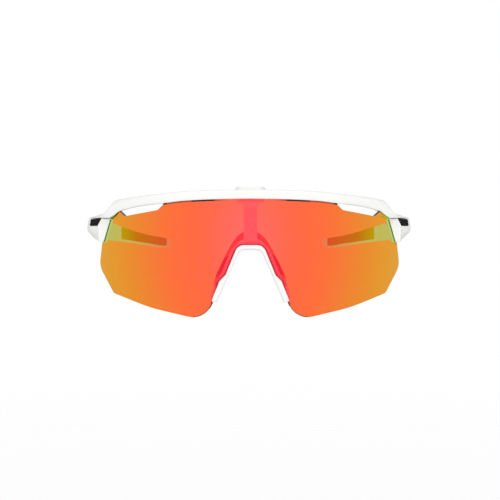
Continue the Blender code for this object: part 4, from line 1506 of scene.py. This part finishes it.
def cut_hinge(temple, side, material):
    """Add the knuckle to a temple, and cut the room for ear, arm, screw and washer."""
    centre = (HINGE_X * side, HINGE_Y)
    low, high = KNUCKLE_Z

    def post(name, radius, bottom, top):
        return turned(name, [(radius, bottom), (radius, top)], centre, material)

    combine(temple, post("knuckle", KNUCKLE_RADIUS, low, high), "UNION", 40.0)
    combine(temple, post("slot", EAR_ROOM_RADIUS, BELOW_Z, low), "DIFFERENCE", 40.0)
    arm_room = ear_arm("arm_room", side, BELOW_Z, low, 0.5, ARM_ROOM_HALF, 0.05, material)
    combine(temple, arm_room, "DIFFERENCE", 40.0)
    combine(temple, post("bore", BORE_RADIUS, 5.0, ABOVE_Z), "DIFFERENCE", 40.0)
    combine(temple, post("seat", WASHER_ROOM_RADIUS, high, ABOVE_Z), "DIFFERENCE", 40.0)


def make_temple(word, side, material):
    """White shell of one temple."""
    temple = temple_shell(word, side, material)
    cut_hinge(temple, side, material)
    even_shading(temple)
    fit(temple, "temple_arm_" + word, "temple_" + word)


def soft_ends(rings, inset):
    """Rings with the first and the last pulled in."""
    still = (0, 0, 0)
    return [shrunk(rings[0], inset, still)] + rings[1:-1] + [shrunk(rings[-1], inset, still)]


def make_plate(word, side, material):
    """Dark plate of one temple."""
    rings = [plate_ring(y, side) for y in np.linspace(*PLATE_Y, 14)]
    plate = skin("temple_plate_cover_" + word, soft_ends(rings, 0.2), material, 40.0)
    even_shading(plate)
    fit(plate, "temple_arm_" + word, "temple_plate_" + word)


def make_grip(word, side, material):
    """Ribbed grip of one temple."""
    front, back = GRIP_Y
    rings = []
    for y in np.linspace(front, back, 150):
        fade = min(1.0, (y - front) / RIB_FADE, (back - y) / RIB_FADE)
        wave = 0.5 + 0.5 * math.cos(2 * math.pi * y / RIB_PITCH)
        rings.append(grip_ring(y, side, RIB_HEIGHT * fade * wave))
    grip = skin("temple_grip_cover_" + word, soft_ends(rings, 0.3), material, 50.0)
    fit(grip, "temple_arm_" + word, "temple_grip_" + word)


# ------------------------------------------------------------------- hardware

THREAD_RADIUS = 1.0
THREAD_ROOT = 0.86
THREAD_PITCH = 0.35
THREAD_LENGTH = 3.4


def make_screw(word, side, material):
    """Hinge screw from below: slotted head, shank and thread."""
    centre = (HINGE_X * side, HINGE_Y)
    low, high = SCREW_LOW[2], SCREW_HIGH[2]
    profile = [
        (1.5, low), (1.75, low + 0.1), (1.9, low + 0.3),
        (1.9, low + 0.9), (1.8, low + 1.0), (THREAD_RADIUS, low + 1.0),
    ]
    z = low + 1.4
    while z < high - 0.8:
        profile.append((THREAD_RADIUS, z))
        if z > high - THREAD_LENGTH:
            profile += [(THREAD_ROOT, z + 0.12), (THREAD_RADIUS, z + 0.24)]
        z += THREAD_PITCH
    profile += [(THREAD_RADIUS, high - 0.3), (0.75, high)]
    screw = turned("hinge_pin_screw_" + word, profile, centre, material)
    x, y = centre
    slot = block(
        "drive", (x - 1.25, y - 0.22, low - 1.0), (x + 1.25, y + 0.22, low + 0.5), 0.05, material
    )
    combine(screw, slot, "DIFFERENCE")
    even_shading(screw)
    fit(screw, "front", "hinge_screw_" + word)


def bevelled_tube(name, side, low, high, bore, radius, bevel, material):
    """Tube on the hinge's axis with small bevels outside."""
    profile = [
        (bore, low), (radius - 0.1, low), (radius, low + bevel),
        (radius, high - bevel), (radius - 0.1, high), (bore, high),
    ]
    return tube(name, profile, (HINGE_X * side, HINGE_Y), material)


def make_insert(word, side, material):
    """Threaded insert in the hood."""
    name = "thread_insert_" + word
    insert = bevelled_tube(name, side, INSERT_LOW[2], INSERT_HIGH[2], 1.1, 1.9, 0.1, material)
    fit(insert, "front", "hinge_insert_" + word)


def make_washer(word, side, material):
    """Thin washer between hood and knuckle."""
    name = "friction_washer_" + word
    washer = bevelled_tube(name, side, WASHER_LOW[2], WASHER_HIGH[2], 1.25, 2.9, 0.08, material)
    fit(washer, "front", "hinge_washer_" + word)


# -------------------------------------------------------------- studio, camera

LAMP_X = 0.54
LAMP_Y = -0.62
LAMP_Z = 0.36
LAMP_TARGET = (0.0, 0.04, 0.0)
LAMP_SIZE = 0.45
FLOOR_REACH = 4000.0
FLOOR_GAP = 1.0
FLOOR_TONES = (0.9, 0.92)
# The floor fades to clear where it is seen at a shallow angle.
FLOOR_FADE = (0.94, 0.80)
CAMERA_PLACE = (-8.5, -702.5, 0.0)
CAMERA_TARGET_X = -0.25
CAMERA_LENS = 117.2


def make_room():
    """White room, with its own light for matt faces, for mirrors and for the backdrop."""
    world = bpy.data.worlds.new("studio")
    bpy.context.scene.world = world
    world.use_nodes = True
    graph = Graph(world.node_tree, "ShaderNodeOutputWorld")
    path = graph.add("ShaderNodeLightPath")
    y = graph.coordinate("Y", "Generated")
    z = graph.coordinate("Z", "Generated")
    forward = graph.calculate("MULTIPLY_ADD", y, -FRONT_LIGHT, ROOM_LIGHT)
    matt = graph.calculate("MULTIPLY_ADD", z, TOP_LIGHT, forward)
    mirrored = graph.spread(y, 0.3, 1.0, GLOSS_LIGHT, GLOSS_LIGHT_BEHIND)
    diffuse, gloss, backdrop = (
        graph.add("ShaderNodeBackground", {"Color": (1.0,) * 3, "Strength": strength}).outputs[0]
        for strength in (matt, mirrored, 1.0)
    )
    light = graph.mix(path.outputs["Is Glossy Ray"], diffuse, gloss)
    graph.finish(graph.mix(path.outputs["Is Camera Ray"], light, backdrop))


def make_floor():
    """Pale floor just below the sunglasses."""
    material, graph = new_material("pale_floor")
    low, high = ((tone,) * 3 for tone in FLOOR_TONES)
    tone = graph.ramp(graph.noise(3.0), [(0.3, low), (0.7, high)])
    matt = graph.add("ShaderNodeBsdfDiffuse", {"Color": tone})
    clear = graph.add("ShaderNodeBsdfTransparent")
    fade = graph.add("ShaderNodeMapRange", {
        "Value": facing_value(graph), "From Min": FLOOR_FADE[0], "From Max": FLOOR_FADE[1],
    })
    fade.interpolation_type = "SMOOTHSTEP"
    graph.finish(graph.mix(fade.outputs["Result"], clear.outputs[0], matt.outputs[0]))
    z = cad_box[0].z / MM - FLOOR_GAP
    corners = [
        (x_sign * FLOOR_REACH, y_sign * FLOOR_REACH, z)
        for x_sign, y_sign in ((-1, -1), (1, -1), (1, 1), (-1, 1))
    ]
    floor = place("floor", corners, [(0, 1, 2, 3)], material)
    floor.visible_glossy = False
    floor.visible_diffuse = False
    floor.visible_shadow = False


def make_lamp(side):
    """Soft lamp in front of the sunglasses, to one side."""
    lamp = bpy.data.lights.new("softbox", "AREA")
    lamp.shape = "DISK"
    lamp.size = LAMP_SIZE
    lamp.energy = LAMP_POWER
    softbox = bpy.data.objects.new("softbox", lamp)
    softbox.location = (LAMP_X * side, LAMP_Y, LAMP_Z)
    aim = Vector(LAMP_TARGET) - softbox.location
    softbox.rotation_euler = aim.to_track_quat("-Z", "Y").to_euler()
    softbox.visible_glossy = False
    softbox.visible_camera = False
    bpy.context.scene.collection.objects.link(softbox)


def make_camera():
    """Camera level with the nose bridge, a little to the wearer's right."""
    camera = bpy.data.cameras.new("camera")
    camera.sensor_width = 36.0
    camera.lens = CAMERA_LENS
    camera.clip_start = 0.05
    camera.clip_end = 20.0
    item = bpy.data.objects.new("camera", camera)
    item.location = Vector(CAMERA_PLACE) * MM
    target = Vector((CAMERA_TARGET_X, LENS_LOW[1], 0.0)) * MM
    item.rotation_euler = (target - item.location).to_track_quat("-Z", "Y").to_euler()
    bpy.context.scene.collection.objects.link(item)
    bpy.context.scene.camera = item


make_lens()
make_brow()
make_bridge()
make_pad()
temple_material = temple_white()
plate_material = satin_black()
grip_material = grip_rubber()
screw_material = turned_steel()
insert_material = knurled_brass()
washer_material = washer_nylon()
for side, word in SIDES:
    make_lug(word, side)
    make_temple(word, side, temple_material)
    make_plate(word, side, plate_material)
    make_grip(word, side, grip_material)
    make_screw(word, side, screw_material)
    make_insert(word, side, insert_material)
    make_washer(word, side, washer_material)
bpy.context.scene.view_settings.view_transform = "Standard"
make_room()
make_floor()
for side in (-1, 1):
    make_lamp(side)
make_camera()
